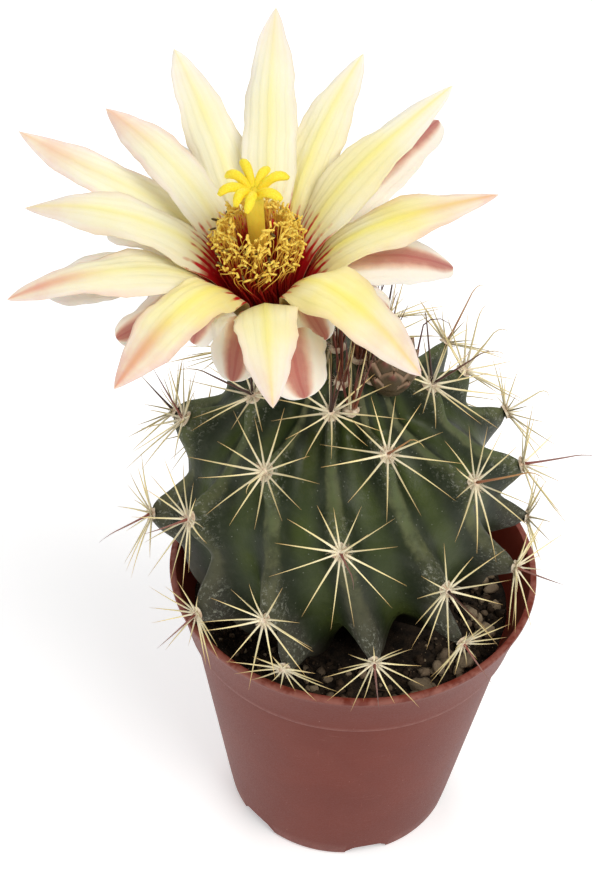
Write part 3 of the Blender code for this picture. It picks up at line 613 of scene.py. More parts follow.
def makeOuterPetal():
    made, tree, shader = newMaterial("petalBlush", Specular_IOR_Level=0.22, Sheen_Weight=0.25,
                                     Sheen_Roughness=0.45, Subsurface_Scale=0.0012)
    shader.inputs["Subsurface Weight"].default_value = 0.10
    across = attributeValue(tree, "across")
    along = attributeValue(tree, "along")
    lines = placeGroup(tree, veins, Across=across, Along=along, Lines=7.0)
    offCentre = mathNode(tree, "ABSOLUTE", across)
    colour = mixColour(tree, stepBetween(tree, along, 0.15, 0.6), outerFinish["green"], outerFinish["flesh"])
    colour = mixColour(tree, stepBetween(tree, offCentre, 0.34, 0.66), colour, outerFinish["edge"])
    wander = linear(tree, noiseValue(tree, 420.0, 4.0), 0.36, -0.18)
    inStripe = mathNode(tree, "ADD", offCentre, wander)
    stripe = times(tree, stepBetween(tree, inStripe, 0.62, 0.12), stepBetween(tree, along, 0.30, 0.88))
    stripe = times(tree, stripe, linear(tree, lines["Line"], 0.10, 0.78))
    colour = mixColour(tree, stripe, colour, outerFinish["stripe"])
    throat = stepBetween(tree, mathNode(tree, "SUBTRACT", along, noiseShift(tree, 0.12)), 0.30, 0.10)
    back = attributeValue(tree, "back")
    upperSide = mathNode(tree, "SUBTRACT", 1.0, back)
    colour = mixColour(tree, times(tree, throat, upperSide), colour, outerFinish["crimson"])
    # the underside greens into the tube's scales
    foot = times(tree, stepBetween(tree, along, 0.36, 0.06), back)
    colour = mixColour(tree, foot, colour, outerFinish["foot"])
    setSurface(tree, shader, colour, linear(tree, lines["Height"], 0.12, 0.5))
    fuzz = linear(tree, noiseValue(tree, 6500.0, 2.0), 0.7, lines["Height"])
    addBump(tree, shader, fuzz, 0.00012, 0.55)
    return made


stamenFinish = {
    "foot": (0.50, 0.014, 0.012),
    "thread": (0.96, 0.63, 0.09),
    "lemon": (0.96, 0.74, 0.18),
    "ochre": (0.50, 0.25, 0.04),
    "anther": (0.88, 0.54, 0.060),
    "pollen": (1.00, 0.82, 0.17),
    "withered": (0.11, 0.07, 0.02),
}


def makeStamenMaterial():
    # threads run from crimson in the throat to gold
    made, tree, shader = newMaterial("stamenThread", Specular_IOR_Level=0.3)
    along = attributeValue(tree, "along")
    tone = attributeValue(tree, "tone")
    colour = mixColour(tree, stepBetween(tree, along, 0.58, 0.78), stamenFinish["foot"],
                       stamenFinish["thread"])
    lemon = times(tree, stepBetween(tree, tone, 0.4, 1.0), stepBetween(tree, along, 0.60, 0.85))
    colour = mixColour(tree, times(tree, lemon, 0.6), colour, stamenFinish["lemon"])
    grain = noiseValue(tree, 3500.0, 3.0)
    streaks = times(tree, stepBetween(tree, grain, 0.45, 0.7), 0.20)
    colour = mixColour(tree, streaks, colour, stamenFinish["ochre"])
    setSurface(tree, shader, colour, linear(tree, grain, 0.3, 0.4))
    addBump(tree, shader, grain, 0.00008, 0.5)
    return made


def makeAnther():
    made, tree, shader = newMaterial("anther", Specular_IOR_Level=0.25)
    tone = attributeValue(tree, "tone")
    grain = noiseValue(tree, 5200.0, 3.0)
    colour = mixColour(tree, stepBetween(tree, grain, 0.35, 0.65), stamenFinish["anther"],
                       stamenFinish["pollen"])
    colour = mixColour(tree, stepBetween(tree, tone, 0.86, 0.95), colour, stamenFinish["withered"])
    setSurface(tree, shader, colour, linear(tree, grain, 0.2, 0.6))
    addBump(tree, shader, grain, 0.00015, 0.8)
    return made


stigmaFinish = {
    "deep": (0.97, 0.72, 0.014),
    "bright": (1.00, 0.84, 0.060),
    "shaft": (0.78, 0.55, 0.06),
}


def makeStigma():
    made, tree, shader = newMaterial("stigmaYellow", Specular_IOR_Level=0.35, Subsurface_Scale=0.001)
    shader.inputs["Subsurface Weight"].default_value = 0.2
    papillae = placeGroup(tree, mottle, BlotchScale=900.0, GrainScale=6000.0, GrainShare=1.2)
    along = attributeValue(tree, "along")
    colour = mixColour(tree, papillae["Grain"], stigmaFinish["deep"], stigmaFinish["bright"])
    colour = mixColour(tree, stepBetween(tree, along, 0.9, 0.3), colour, stigmaFinish["shaft"])
    setSurface(tree, shader, colour, linear(tree, papillae["Grain"], 0.15, 0.42))
    addBump(tree, shader, papillae["Height"], 0.00010, 0.6)
    return made


# colour of a scale's body, margin and tip
scaleFinish = {
    "budScale": ((0.110, 0.075, 0.035), (0.34, 0.22, 0.14), (0.20, 0.050, 0.040)),
    "tubeScale": ((0.13, 0.13, 0.050), (0.45, 0.36, 0.22), (0.36, 0.085, 0.070)),
}


def makeScale(name, bodyColour, marginColour, tipColour):
    # the leathery scales of the bud and the tube
    made, tree, shader = newMaterial(name, Specular_IOR_Level=0.35)
    across = mathNode(tree, "ABSOLUTE", attributeValue(tree, "across"))
    along = attributeValue(tree, "along")
    spots = placeGroup(tree, mottle, BlotchScale=650.0, GrainScale=4200.0, GrainShare=0.6)
    colour = mixColour(tree, spots["Blotch"], bodyColour, tuple(0.62 * c for c in bodyColour))
    margin = mathNode(tree, "MAXIMUM", stepBetween(tree, across, 0.62, 0.95),
                      stepBetween(tree, along, 0.80, 1.0))
    colour = mixColour(tree, times(tree, margin, 0.75), colour, marginColour)
    tip = times(tree, stepBetween(tree, along, 0.60, 0.92), stepBetween(tree, across, 0.7, 0.1))
    colour = mixColour(tree, times(tree, tip, 0.8), colour, tipColour)
    setSurface(tree, shader, colour, linear(tree, spots["Grain"], 0.15, 0.45))
    addBump(tree, shader, spots["Height"], 0.00012, 0.6)
    return made


soilFinish = {
    "crumb": (0.042, 0.027, 0.016),
    "shade": (0.014, 0.010, 0.007),
    "fibre": (0.085, 0.052, 0.030),
    "speck": (0.30, 0.21, 0.13),
}


def makeSoil():
    made, tree, shader = newMaterial("pottingSoil", Specular_IOR_Level=0.2)
    spots = placeGroup(tree, mottle, BlotchScale=700.0, GrainScale=3000.0, GrainShare=1.0)
    tone = attributeValue(tree, "tone")
    colour = mixColour(tree, spots["Blotch"], soilFinish["crumb"], soilFinish["shade"])
    fibres = times(tree, stepBetween(tree, tone, 0.35, 1.0), 0.8)
    colour = mixColour(tree, fibres, colour, soilFinish["fibre"])
    specks = placeGroup(tree, flecks, Scale=1900.0, Size=0.22, Share=0.16)["Mask"]
    colour = mixColour(tree, times(tree, specks, 0.5), colour, soilFinish["speck"])
    setSurface(tree, shader, colour, linear(tree, spots["Grain"], 0.2, 0.75))
    addBump(tree, shader, spots["Height"], 0.0004, 0.9)
    return made


stoneFinish = {
    "dark": (0.12, 0.082, 0.050),
    "pale": (0.34, 0.26, 0.165),
    "red": (0.16, 0.085, 0.05),
    "blotch": (0.22, 0.16, 0.10),
    "grit": (0.10, 0.07, 0.05),
}


def makeStoneMaterial():
    made, tree, shader = newMaterial("gravelStone", Specular_IOR_Level=0.3)
    tone = attributeValue(tree, "tone")
    spots = placeGroup(tree, mottle, BlotchScale=900.0, GrainScale=5200.0, GrainShare=0.8)
    colour = mixColour(tree, stepBetween(tree, tone, 0.0, 0.6), stoneFinish["dark"], stoneFinish["pale"])
    colour = mixColour(tree, stepBetween(tree, tone, 0.7, 1.0), colour, stoneFinish["red"])
    colour = mixColour(tree, times(tree, spots["Blotch"], 0.5), colour, stoneFinish["blotch"])
    grit = placeGroup(tree, flecks, Scale=3600.0, Size=0.25, Share=0.2)["Mask"]
    colour = mixColour(tree, times(tree, grit, 0.5), colour, stoneFinish["grit"])
    setSurface(tree, shader, colour, linear(tree, spots["Grain"], 0.2, 0.65))
    addBump(tree, shader, spots["Height"], 0.00025, 0.8)
    return made


potPlastic = makePotPlastic()
stemSkin = makeStemSkin()
spineStraw, spineDark, spineBrown, spinePink, spineYoung = (
    makeSpineMaterial(name, *spineFinish[name]) for name in spineFinish)
cushionWool = makeWool()
petalLemon = makeInnerPetal()
petalBlush = makeOuterPetal()
stamenThread = makeStamenMaterial()
anther = makeAnther()
stigmaYellow = makeStigma()
budScale, tubeScale = (makeScale(name, *scaleFinish[name]) for name in scaleFinish)
pottingSoil = makeSoil()
gravelStone = makeStoneMaterial()
print("materials made")


# pot: turned wall with a rolled lip, a collar and drain notches
potShape = {
    "baseRadius": 18.4 * mm,
    "wallTopRadius": 24.5 * mm,
    "collarFootRadius": 25.3 * mm,
    "collarHeight": 9.4 * mm,
    "wall": 1.1 * mm,
    "floor": 1.3 * mm,
    "notches": 6,
    "notchWidth": 7.0 * mm,
    "notchHeight": 2.1 * mm,
    "notchDepth": 2.6 * mm,
    "notchAzimuth": 17.0,
    "steps": 144,
}


def wallInside(height):
    # radius of the wall's inner face
    shape = potShape
    collarFoot = potHeight - shape["collarHeight"]
    if height <= collarFoot:
        share = height / collarFoot
        return shape["baseRadius"] + (shape["wallTopRadius"] - shape["baseRadius"]) * share - shape["wall"]
    share = (height - collarFoot) / shape["collarHeight"]
    return shape["wallTopRadius"] + (rimRadius - shape["wallTopRadius"]) * share - shape["wall"]


def potProfile():
    # radius, height, how far inside, how much painted highlight on an edge
    shape = potShape
    foot = potHeight - shape["collarHeight"]
    lip = 0.42 * mm
    base = shape["baseRadius"]
    rows = [(0.0, 0.5 * mm, 0, 0), (base * 0.55, 0.5 * mm, 0, 0), (base - 2.4 * mm, 0.35 * mm, 0, 0),
            (base - 2.0 * mm, 0.0, 0, 0), (base - 0.5 * mm, 0.0, 0, 0.4),
            (base - 0.15 * mm, 0.12 * mm, 0, 0.6),
            (base + 0.02 * mm, 0.42 * mm, 0, 0.4)]
    for i in range(1, 12):
        share = i / 12
        rows.append((base + (shape["wallTopRadius"] - base) * share, foot * share, 0, 0))
    rows += [(shape["wallTopRadius"], foot - 0.05 * mm, 0, 0),
             (shape["wallTopRadius"] + 0.25 * mm, foot + 0.04 * mm, 0, 0.2),
             (shape["collarFootRadius"] - 0.12 * mm, foot + 0.18 * mm, 0, 0.4),
             (shape["collarFootRadius"], foot + 0.45 * mm, 0, 0.4),
             (shape["collarFootRadius"] + 0.10 * mm, foot + 1.1 * mm, 0, 0)]
    top = potHeight - 2.2 * lip
    for share in (0.35, 0.65, 0.9):
        radius = shape["collarFootRadius"] + (rimRadius - 0.25 * mm - shape["collarFootRadius"]) * share
        rows.append((radius, foot + 1.1 * mm + (top - foot - 1.1 * mm) * share, 0, 0))
    rows += [(rimRadius - 0.18 * mm, top, 0, 0.1), (rimRadius, potHeight - lip * 1.3, 0, 0.8),
             (rimRadius - 0.06 * mm, potHeight - lip * 0.5, 0, 1.0),
             (rimRadius - 0.3 * mm, potHeight - lip * 0.08, 0.2, 1.0),
             (rimRadius - 0.6 * mm, potHeight, 0.5, 0.8),
             (rimRadius - 0.95 * mm, potHeight - lip * 0.25, 0.8, 0.5),
             (wallInside(potHeight) - 0.02 * mm, potHeight - lip, 1, 0.2)]
    for i in range(1, 9):
        height = potHeight - lip - (potHeight - lip - soilTop + 3 * mm) * i / 8
        rows.append((wallInside(height), height, 1, 0))
    rows += [(wallInside(potShape["floor"]), potShape["floor"], 1, 0), (0.0, potShape["floor"], 1, 0)]
    return rows


def buildPot():
    shape = potShape
    steps = shape["steps"]
    angles = np.arange(steps) * 2 * math.pi / steps
    pile = newPile()
    rows = potProfile()
    points = []
    inside = []
    edge = []
    # the last value of each row is how much painted highlight its edge carries
    for radius, height, within, edgeHighlight in rows:
        radius = max(radius, 0.05 * mm)
        # a thin moulded wall is never quite round
        wobble = 1.0 + 0.0016 * np.sin(2 * angles + 0.7) * (height / potHeight)
        points.append(np.stack([radius * wobble * np.cos(angles), radius * wobble * np.sin(angles),
                                np.full(steps, height)], axis=-1))
        inside += [within] * steps
        edge += [edgeHighlight] * steps
    faces = gridFaces(len(rows), steps)
    faces.append(tuple(reversed(range(steps))))
    faces.append(tuple(range((len(rows) - 1) * steps, len(rows) * steps)))
    addTo(pile, np.concatenate(points), faces, inside=inside, edge=edge)
    cutNotches(makePiece("potWall", pile, [potPlastic], ["pot"], 40.0))


def cutNotches(pot):
    # rounded blocks take the drain notches out of the lower edge
    shape = potShape
    pile = newPile()
    half = shape["notchWidth"] / 2
    outline = [(-half, -2 * mm), (half, -2 * mm), (half - 0.1 * mm, shape["notchHeight"] * 0.35)]
    for i in range(9):
        angle = math.pi * i / 8
        outline.append(((half - 0.9 * mm) * math.cos(angle) * 0.98,
                        shape["notchHeight"] * (0.72 + 0.28 * math.sin(angle))))
    outline.append((-half + 0.1 * mm, shape["notchHeight"] * 0.35))
    count = len(outline)
    for i in range(shape["notches"]):
        out = around(np.array(shape["notchAzimuth"] + 360.0 * i / shape["notches"]))
        side = np.array([-out[1], out[0], 0.0])
        rings = []
        for radius in (shape["baseRadius"] - shape["notchDepth"], shape["baseRadius"] + 4 * mm):
            rings.append([out * radius + side * a + up * b for a, b in outline])
        faces = gridFaces(2, count)
        faces += [tuple(reversed(range(count))), tuple(range(count, 2 * count))]
        addTo(pile, np.concatenate(rings), faces, inside=0.0, edge=0.0)
    mesh = bpy.data.meshes.new("notchBlocks")
    mesh.from_pydata(np.concatenate(pile["points"]).tolist(), [], pile["faces"])
    cutter = addObject("notchBlocks", mesh)
    cut = pot.modifiers.new("notches", "BOOLEAN")
    cut.operation = "DIFFERENCE"
    cut.solver = "EXACT"
    cut.object = cutter
    bpy.context.view_layer.update()
    shaped = bpy.data.meshes.new_from_object(pot.evaluated_get(bpy.context.evaluated_depsgraph_get()))
    pot.modifiers.remove(cut)
    pot.data = shaped
    bpy.data.objects.remove(cutter, do_unlink=True)


buildPot()
print("pot built")


# stem: ribs wind slowly round it, with a chin at each spine cushion
stemShape = {
    "axis": (-2.5 * mm, 0.5 * mm),
    "middleAboveSoil": 18.0 * mm,
    "radius": 27.6 * mm,
    "footRadius": 12.0 * mm,
    "footLatitude": -60.0,
    "rimClearance": 2.6 * mm,
    "neckShare": 0.95,
    "ribs": 13,
    "ribAzimuth": 6.5,
    "spiral": 0.30,
    "keelPower": 1.9,
    "keelRound": 0.13,
    "furrow": 5.4 * mm,
    "lowFurrow": 3.6 * mm,
    "chinHeight": 4.3 * mm,
    "chinSpread": 8.8,
    "chinPower": 2.5,
    "chinSharpness": 1.25,
    "crownShare": 0.21,
    "stripeSpread": 0.008,
    "stepsPerRib": 18,
    "rows": 112,
}
# latitudes of the cushions up each rib
ribCushions = [
    (67, 30, -7), (55, 14, -12), (38, 3), (65, 24, -5), (53, 22), (44, 6), (62, 25, -8),
    (46, 8), (64, 28, -4), (50, 20), (36, 6), (60, 22, -7), (46, 6, -14),
]
stemMiddle = soilTop + stemShape["middleAboveSoil"]
stemAxis = np.array([*stemShape["axis"], 0.0])
stemFoot = stemLow.z
upperHeight = stemHigh.z - stemMiddle


def stemHeightAt(latitude):
    lat = np.radians(latitude)
    deepest = math.sin(math.radians(stemShape["footLatitude"]))
    below = stemMiddle - (stemMiddle - stemFoot) * np.sin(lat) / deepest
    return np.where(latitude >= 0, stemMiddle + upperHeight * np.sin(lat), below)


def stemRadiusAt(latitude):
    shape = stemShape
    full, foot = shape["radius"], shape["footRadius"]
    ridges = rimRadius - potShape["wall"] - np.linalg.norm(stemAxis) - shape["rimClearance"]
    neck = min(ridges + shape["chinHeight"], shape["neckShare"] * full)
    atRim = (potHeight - stemFoot) / (stemMiddle - stemFoot)
    power = math.log(1.0 - (neck - foot) / (full - foot)) / math.log(1.0 - atRim)
    here = np.clip((stemHeightAt(latitude) - stemFoot) / (stemMiddle - stemFoot), 0.0, 1.0)
    return np.where(latitude >= 0, full * np.cos(np.radians(latitude)),
                    full - (full - foot) * (1.0 - here) ** power)


def ribAzimuthAt(column, latitude):
    shape = stemShape
    return shape["ribAzimuth"] + column * 360.0 / shape["ribs"] - shape["spiral"] * (latitude - 15.0)


def stemSurface(azimuth, latitude):
    # the plain round body that touches the chins, and its outward direction
    place = stemAxis + around(azimuth) * stemRadiusAt(latitude)[..., None]
    place[..., 2] = stemHeightAt(latitude)
    rise = stemHeightAt(latitude + 0.5) - stemHeightAt(latitude - 0.5)
    shrink = stemRadiusAt(latitude - 0.5) - stemRadiusAt(latitude + 0.5)
    normal = unit(around(azimuth) * rise[..., None] + up * shrink[..., None])
    return place, normal


def chinAt(rib, latitude):
    made = np.zeros_like(latitude)
    for index, cushions in enumerate(ribCushions):
        best = np.max([np.exp(-np.abs((latitude - at) / stemShape["chinSpread"]) ** stemShape["chinPower"])
                       for at in cushions], axis=0)
        made = np.where(rib == index, best, made)
    return made


def stemPoint(column, latitude):
    # a point of the skin; whole columns run along the ridges
    shape = stemShape
    column = np.asarray(column, float)
    latitude = np.asarray(latitude, float)
    nearest = np.floor(column + 0.5)
    # off runs from 0 on the keel to 1 in the furrow, rounded over so that neither is a crease
    off = np.abs(2.0 * (column - nearest))
    keel = shape["keelRound"]
    off = (np.sqrt(off ** 2 + keel ** 2) - keel) / (math.sqrt(1.0 + keel ** 2) - keel)
    ridge = (1.0 - off) ** shape["keelPower"]
    chin = chinAt(nearest.astype(int) % shape["ribs"], latitude)
    fade = np.clip((np.cos(np.radians(latitude)) - shape["crownShare"]) / shape["crownShare"], 0.0, 1.0)
    nose = chin * (1.0 - off) ** shape["chinSharpness"]
    deeper = shape["lowFurrow"] * np.clip((25.0 - latitude) / 45.0, 0.0, 1.0)
    furrow = shape["furrow"] + deeper
    dip = (furrow * (1.0 - ridge) + shape["chinHeight"] * (ridge - ridge * nose)) * fade
    place, normal = stemSurface(ribAzimuthAt(column, latitude), latitude)
    return place - normal * dip[..., None], normal, ridge, chin


def buildStem():
    shape = stemShape
    columns = np.arange(shape["ribs"] * shape["stepsPerRib"]) / shape["stepsPerRib"]
    latitudes = np.concatenate([np.linspace(shape["footLatitude"], 84.0, shape["rows"]), [86.0, 88.0, 89.3]])
    column, latitude = np.meshgrid(columns, latitudes)
    points, normal, ridge, chin = stemPoint(column, latitude)
    flat = points.reshape(-1, 3)
    # soft lumps and fine folds in the skin
    lumps = np.array([noise.noise(Vector(p) * 150.0) * 0.34 + noise.noise(Vector(p) * 520.0) * 0.10
                      for p in flat.tolist()])
    flat = flat + normal.reshape(-1, 3) * (lumps * mm)[:, None]
    low = np.clip((24.0 - latitude) / 30.0, 0.0, 1.0).reshape(-1)
    # a paler stripe runs down from the crown on the ridges, ahead of the first cushions
    stripe = np.exp(-np.abs(column - np.floor(column + 0.5)) ** 2 / shape["stripeSpread"])
    stripe = stripe * np.clip((latitude - 20.0) / 15.0, 0, 1) * np.clip((66.0 - latitude) / 6.0, 0, 1)
    faces = gridFaces(len(latitudes), len(columns))
    faces.append(tuple(reversed(range(len(columns)))))
    last = len(flat) - len(columns)
    crown = np.array([[stemAxis[0], stemAxis[1], stemMiddle + upperHeight]])
    faces += [(last + i, last + (i + 1) % len(columns), len(flat)) for i in range(len(columns))]
    pile = newPile()
    addTo(pile, np.concatenate([flat, crown]), faces, ridge=np.append(ridge.reshape(-1), 1.0),
          chin=np.append(chin.reshape(-1), 0.0), low=np.append(low, 0.0),
          stripe=np.append(stripe.reshape(-1), 0.0))
    makePiece("ribbedStem", pile, [stemSkin], ["stem"])


buildStem()
print("stem built")


# spine cushions: wool, a star of straight spines, and hooked central ones
starShape = {
    "radials": 13,
    "length": 9.9 * mm,
    "thick": 0.145 * mm,
    "rise": 20.0,
    "padRadius": 1.02 * mm,
    "padHeight": 0.70 * mm,
    "hairs": 44,
    "hairLength": 1.0 * mm,
    "hairThick": 0.035 * mm,
    # the end share of a spine that turns over into its hook
    "hookShare": 0.26,
}
# central spines: rib, place on it, tip from the cushion (mm right, back and up), hook in degrees, kind
centralSpines = [
    (0, 0, (-0.5, 3.0, 8.5), 0, "dark"), (0, 0, (2.5, 4.5, 7.5), 0, "dark"),
    (0, 0, (0.8, 3.4, 6.0), 0, "dark"),
    (0, 1, (3.5, -1.5, 5.0), 0, "straw"), (0, 1, (2.0, -5.0, 0.0), 60, "pink"),
    (0, 2, (1.0, -5.5, -3.0), 0, "pink"),
    (1, 0, (3.5, -2.0, 5.0), 70, "brown"),
    (1, 1, (5.0, -5.5, -1.0), 20, "dark"),
    (1, 2, (4.0, -5.0, -2.5), 0, "pink"),
    (2, 0, (8.5, -0.8, 3.5), 75, "brown"),
    (2, 1, (6.5, -2.2, -1.0), 0, "pink"),
    (3, 0, (8.0, 2.0, 5.5), 60, "dark"), (3, 0, (-1.8, 9.0, 7.0), 110, "dark"),
    (3, 0, (2.5, 3.5, 7.5), 0, "straw"),
    (3, 1, (9.0, 0.7, 1.8), 25, "pink"),
    (4, 0, (1.5, 5.5, 7.0), 60, "straw"), (4, 0, (4.5, 3.0, 6.0), 90, "straw"),
    (4, 1, (6.0, 3.0, 2.5), 90, "straw"),
    (5, 0, (4.0, 6.0, 7.0), 80, "brown"), (5, 1, (4.0, 8.0, 3.0), 0, "pink"),
    (6, 0, (1.0, 4.0, 9.0), 90, "dark"), (6, 1, (2.0, 8.5, 3.0), 60, "pink"),
    (7, 0, (-2.5, 7.0, 6.0), 80, "brown"), (7, 1, (-4.0, 8.0, 2.5), 0, "pink"),
    (8, 0, (-4.0, 4.0, 8.5), 90, "dark"), (8, 1, (-6.0, 7.0, 2.5), 0, "pink"),
    (9, 0, (-6.0, 2.0, 7.5), 60, "brown"), (9, 1, (-5.0, 0.7, 5.5), 0, "dark"),
    (10, 0, (-4.5, 2.5, 6.5), 0, "pink"), (10, 1, (-5.6, -4.8, -0.7), 20, "pink"),
    (11, 0, (-8.5, -1.2, 5.0), 40, "dark"), (11, 0, (-1.0, 3.5, 7.0), 0, "dark"),
    (11, 1, (-5.0, -6.0, 2.0), 0, "pink"), (11, 2, (-4.5, -5.5, -1.8), 0, "pink"),
    (12, 0, (-2.0, -4.0, 0.5), 90, "straw"),
]
centralKinds = {"straw": 1, "dark": 2, "pink": 3, "brown": 4}


def cushionFrame(rib, latitude):
    place, normal, _, _ = stemPoint(np.array([float(rib)]), np.array([float(latitude)]))
    place, normal = place[0], normal[0]
    across = unit(np.cross(up, normal))
    return place, normal, across, np.cross(normal, across)


def spinePath(start, direction, length, bow, steps, hook=0.0, hookAxis=None):
    # a path that bows towards a side direction, and may turn over at its end
    path = [start]
    heading = direction
    for i in range(steps):
        share = (i + 1) / steps
        heading = unit(heading + bow / steps)
        if hook and share > 1.0 - starShape["hookShare"]:
            turn = Matrix.Rotation(math.radians(hook) / (starShape["hookShare"] * steps), 3, Vector(hookAxis))
            heading = np.array(turn @ Vector(heading))
        path.append(path[-1] + heading * length / steps)
    return np.array(path)


def fitsAbovePot(path):
    # true while a spine stays clear of the pot's wall and the soil
    radius = np.linalg.norm(path[:, :2], axis=1)
    lowest = path[:, 2]
    atWall = (radius > rimRadius - 1.6 * mm) & (lowest < potHeight + 0.35 * mm)
    return not (atWall | (lowest < soilTop + 0.3 * mm)).any()


def addSpine(pile, dice, start, direction, length, thick, slot, bow, hook=0.0, hookAxis=None):
    steps = 12 if hook else 6
    while length > 1.5 * mm:
        path = spinePath(start, direction, length, bow, steps, hook, hookAxis)
        if fitsAbovePot(path[2:]):
            break
        length *= 0.86
    share = np.linspace(0.0, 1.0, steps + 1)
    radii = thick * (1.0 - share ** 1.5 * 0.93) * (1.0 + 0.45 * np.exp(-share * 14.0))
    sides = 6
    points, faces = sweep(path, radii, sides)
    addTo(pile, points, faces, slot, along=np.repeat(share, sides), tone=dice.random())


def addWool(pile, dice, place, normal, across, along, size):
    # a low mound, then short curled hairs that stand out of it
    rows, columns = 5, 12
    points = []
    for row in range(rows + 1):
        lift = row / rows
        for i in range(columns):
            turn = 2 * math.pi * i / columns
            reach = size * math.cos(lift * math.pi / 2) * dice.uniform(0.86, 1.08)
            level = across * math.cos(turn) + along * 1.2 * math.sin(turn)
            rise = starShape["padHeight"] * math.sin(lift * math.pi / 2) - 0.3 * mm
            points.append(place + level * reach + normal * rise)
    faces = gridFaces(rows + 1, columns)
    faces.append(tuple(range(rows * columns, (rows + 1) * columns)))
    addTo(pile, points, faces, 0, along=0.0, tone=dice.random() * 0.5)
    for _ in range(starShape["hairs"]):
        turn = dice.uniform(0, 2 * math.pi)
        out = across * math.cos(turn) + along * math.sin(turn)
        reach = size * math.sqrt(dice.random())
        rise = starShape["padHeight"] * (1.0 - reach / size) * 0.8 - 0.1 * mm
        start = place + out * reach + normal * rise
        heading = unit(out * dice.uniform(0.2, 1.0) + normal * dice.uniform(0.3, 1.0))
        curl = np.array([dice.uniform(-1, 1), dice.uniform(-1, 1), dice.uniform(-1, 1)]) * 1.4
        path = spinePath(start, heading, starShape["hairLength"] * dice.uniform(0.5, 1.2), curl, 3)
        points, faces = sweep(path, np.array([1.0, 0.9, 0.7, 0.3]) * starShape["hairThick"], 3, False)
        addTo(pile, points, faces, 0, along=0.5, tone=dice.random())


def buildCushion(rib, index):
    latitude = ribCushions[rib][index]
    place, normal, across, along = cushionFrame(rib, latitude)
    name = f"spines_{rib + 1:02d}_{index + 1}"
    dice = random.Random(name)
    pile = newPile()
    size = starShape["padRadius"] * (1.05 if latitude > 10 else 0.85)
    addWool(pile, dice, place, normal, across, along, size)
    count = starShape["radials"] + dice.choice((-1, 0, 0, 1))
    offset = dice.uniform(0, 360.0 / count)
    for i in range(count):
        turn = math.radians(offset + 360.0 * i / count + dice.uniform(-7, 7))
        rise = math.radians(starShape["rise"] + dice.uniform(-8, 8))
        level = along * math.cos(turn) + across * math.sin(turn)
        direction = unit(level * math.cos(rise) + normal * math.sin(rise))
        length = starShape["length"] * dice.uniform(0.80, 1.08) * (1.0 if latitude > 0 else 0.86)
        # the spines that point up the rib are a little shorter
        length *= 0.82 + 0.18 * (1.0 - math.cos(turn)) / 2
        bow = normal * dice.uniform(-0.22, 0.12) + np.cross(normal, level) * dice.uniform(-0.12, 0.12)
        start = place + level * size * 0.35 + normal * 0.1 * mm
        addSpine(pile, dice, start, direction, length, starShape["thick"] * dice.uniform(0.85, 1.15), 1, bow)
    for ownerRib, ownerIndex, tip, hook, kind in centralSpines:
        if (ownerRib, ownerIndex) != (rib, index):
            continue
        reach = np.array(tip) * mm
        length = np.linalg.norm(reach)
        # the hook turns down and over, and the shaft bows a little the other way
        hookAxis = unit(np.cross(reach / length, -up + 0.2 * normal))
        addSpine(pile, dice, place + normal * 0.3 * mm, reach / length, length * (1.15 if hook else 1.0),
                 starShape["thick"] * 1.15, centralKinds[kind], up * 0.12, hook, hookAxis)
    node = [name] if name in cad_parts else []
    materials = [cushionWool, spineStraw, spineDark, spinePink, spineBrown]
    makePiece(f"cushion{rib + 1:02d}x{index + 1}", pile, materials, node)


for rib, cushions in enumerate(ribCushions):
    for index in range(len(cushions)):
        buildCushion(rib, index)
print("spine cushions built")


# crown: woolly young cushions whose red-brown spines still stand upright
crownShape = {
    # level offset from the stem's axis, in mm, and number of spines
    "cushions": [(1.0, -8.4, 12), (-0.6, -5.8, 11), (3.4, -4.6, 9), (4.4, -0.4, 11), (1.4, -1.6, 11),
                 (-1.6, 0.4, 11), (1.6, 2.8, 9),
                 (-3.2, 3.8, 8), (4.8, 5.0, 8), (-7.4, 2.6, 7), (0.2, 7.0, 8)],
    "length": 11.5 * mm,
    "thick": 0.16 * mm,
    "padRadius": 1.25 * mm,
    # the long hooked spine beside the bud
    "longPlace": (9.6, -1.6),
    "longHeading": (0.10, 0.05, 1.0),
    "longLength": 15.5 * mm,
    "longThick": 0.19 * mm,
    "longPad": 1.1 * mm,
    "longHook": 120.0,
}


def crownPlace(x, y):
    # a point on the top of the stem at a level offset from its axis
    reach = math.hypot(x, y) * mm
    latitude = math.degrees(math.acos(min(1.0, reach / stemShape["radius"])))
    azimuth = math.degrees(math.atan2(x, -y))
    turned = azimuth - stemShape["ribAzimuth"] + stemShape["spiral"] * (latitude - 15.0)
    column = turned * stemShape["ribs"] / 360.0
    place, normal, _, _ = stemPoint(np.array([column]), np.array([latitude]))
    return place[0], normal[0]


